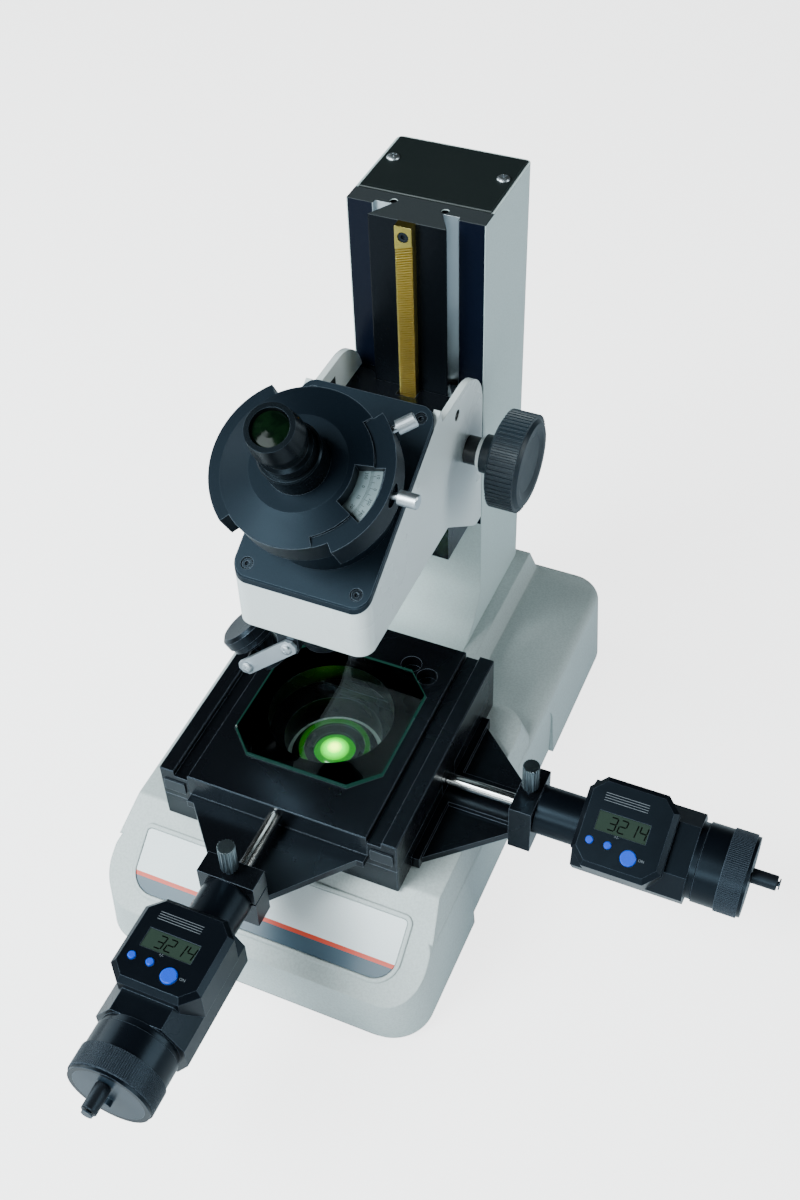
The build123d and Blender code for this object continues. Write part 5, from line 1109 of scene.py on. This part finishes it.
# %% Cutting one piece with another
def cut_away(piece, cutter):
    """Take a cutter's shape out of a piece and delete the cutter."""
    cut = piece.modifiers.new("cut", "BOOLEAN")
    cut.operation = "DIFFERENCE"
    cut.object = cutter
    select_only(piece)
    bpy.ops.object.modifier_apply(modifier=cut.name)
    bpy.data.objects.remove(cutter)


print("cutting helper ready")

# %% Domed head with a cross
def cross_head(name, radius, rise, arm_width, arm_length):
    """Domed steel screw head on the origin with a cross pressed into its top."""
    bpy.ops.object.select_all(action="DESELECT")
    bpy.ops.mesh.primitive_uv_sphere_add(segments=32, ring_count=16, radius=radius)
    head = bpy.context.object
    head.name = name
    bpy.ops.object.mode_set(mode="EDIT")
    bpy.ops.mesh.select_all(action="SELECT")
    bpy.ops.mesh.bisect(plane_co=(0, 0, 0), plane_no=(0, 0, 1), clear_inner=True, use_fill=True)
    bpy.ops.mesh.select_all(action="SELECT")
    bpy.ops.transform.resize(value=(1, 1, rise / radius), center_override=(0, 0, 0))
    bpy.ops.object.mode_set(mode="OBJECT")
    recess_floor = rise * 0.15
    arm_softness = arm_width * 0.15
    for angle in (0, pi / 2):
        cutter = soft_bar("cross_cutter", arm_length, arm_width, rise, arm_softness)
        cutter.matrix_world = Matrix.Translation((0, 0, recess_floor)) @ spin(angle)
        cut_away(head, cutter)
    select_only(head)
    bpy.ops.object.shade_smooth_by_angle(angle=radians(40))
    dress(head, finishes["screw_steel"])
    return head


print("screw helper ready")

# %% Heads of the cover screws
screws_low, screws_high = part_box("column_screws")
cover_screw_x = 33.2 * mm
cover_screw_y = 189.0 * mm
cover_head_radius = 3.9 * mm
cover_head_rise = 1.8 * mm
cover_cross_width = 0.9 * mm
cover_cross_length = 4.2 * mm
cover_cross_turn = radians(35)
cover_top = screws_high[2] - cover_head_rise
cover_head = cross_head("cross_head", cover_head_radius, cover_head_rise, cover_cross_width,
                        cover_cross_length)
heads = []
for middle_x in (-cover_screw_x, cover_screw_x):
    place = Matrix.Translation((middle_x, cover_screw_y, cover_top)) @ spin(cover_cross_turn)
    heads.append(copy_piece(cover_head, "cover_screw", place))
remove_patterns(cover_head)
print("cover screws:", len(heads))

# %% [markdown]
# ### Socket screw of the rack
# The rack is held by a black socket screw. Its head is a short cylinder with a six-sided hole,
# which a cylinder of six corners cuts. With the heads of the cover screws it replaces the plain
# solids, which stay in the model for collision.

# %% Socket screw, joined with the cover screws
socket_radius = 3.0 * mm
socket_length = 2.6 * mm
hexagon_radius = 1.6 * mm
rack_screw_z = 379.9 * mm
bpy.ops.object.select_all(action="DESELECT")
bpy.ops.mesh.primitive_cylinder_add(vertices=48, radius=socket_radius, depth=socket_length)
socket = bpy.context.object
socket.name = "rack_screw"
bpy.ops.object.select_all(action="DESELECT")
bpy.ops.mesh.primitive_cylinder_add(vertices=6, radius=hexagon_radius, depth=socket_length)
hexagon = bpy.context.object
hexagon.location = (0, 0, socket_length / 2)
cut_away(socket, hexagon)
dress(socket, finishes["moulded_black"])
socket_place = (0, screws_low[1] + socket_length / 2, rack_screw_z)
fix_in_place(socket, face_matrix(socket_place, (1, 0, 0), (0, -1, 0)))
column_heads = join_pieces(heads + [socket], "column_screw_heads")
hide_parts("column_screws")
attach(column_heads, "base")
print("column screw heads:", len(column_heads.data.polygons), "faces")

# %% [markdown]
# ### Screws of the lamp arm
# A flat arm joins the surface lamp to the head, with a screw at each end. The upper one turns with
# the arm and the lower one with the lamp, so each is a piece of its own that rides on its body.

# %% Screws of the lamp arm
arm_head_radius = 3.1 * mm
arm_head_rise = 0.7 * mm
arm_cross_width = 0.8 * mm
arm_cross_length = 3.4 * mm
arm_screw_places = {"lamp_arm": (-9.9 * mm, -27.9 * mm, 204.3 * mm),
                    "surface_lamp": (-36.8 * mm, -28.1 * mm, 178.3 * mm)}
arm_head = cross_head("arm_head", arm_head_radius, arm_head_rise, arm_cross_width,
                      arm_cross_length)
for body, place in arm_screw_places.items():
    face = face_matrix(place, (1, 0, 0.3), (0, -1, 0))
    head = copy_piece(arm_head, body + "_screw_head", face)
    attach(head, body)
remove_patterns(arm_head)
print("lamp arm screws:", len(arm_screw_places))

# %% [markdown]
# ## Sizes
# The small pieces must not make the microscope bigger. The box of the finished picture model,
# small pieces included, is printed.

# %% Print the size of the visual box
low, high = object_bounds()
print("visual box", [round(v, 4) for v in high - low])
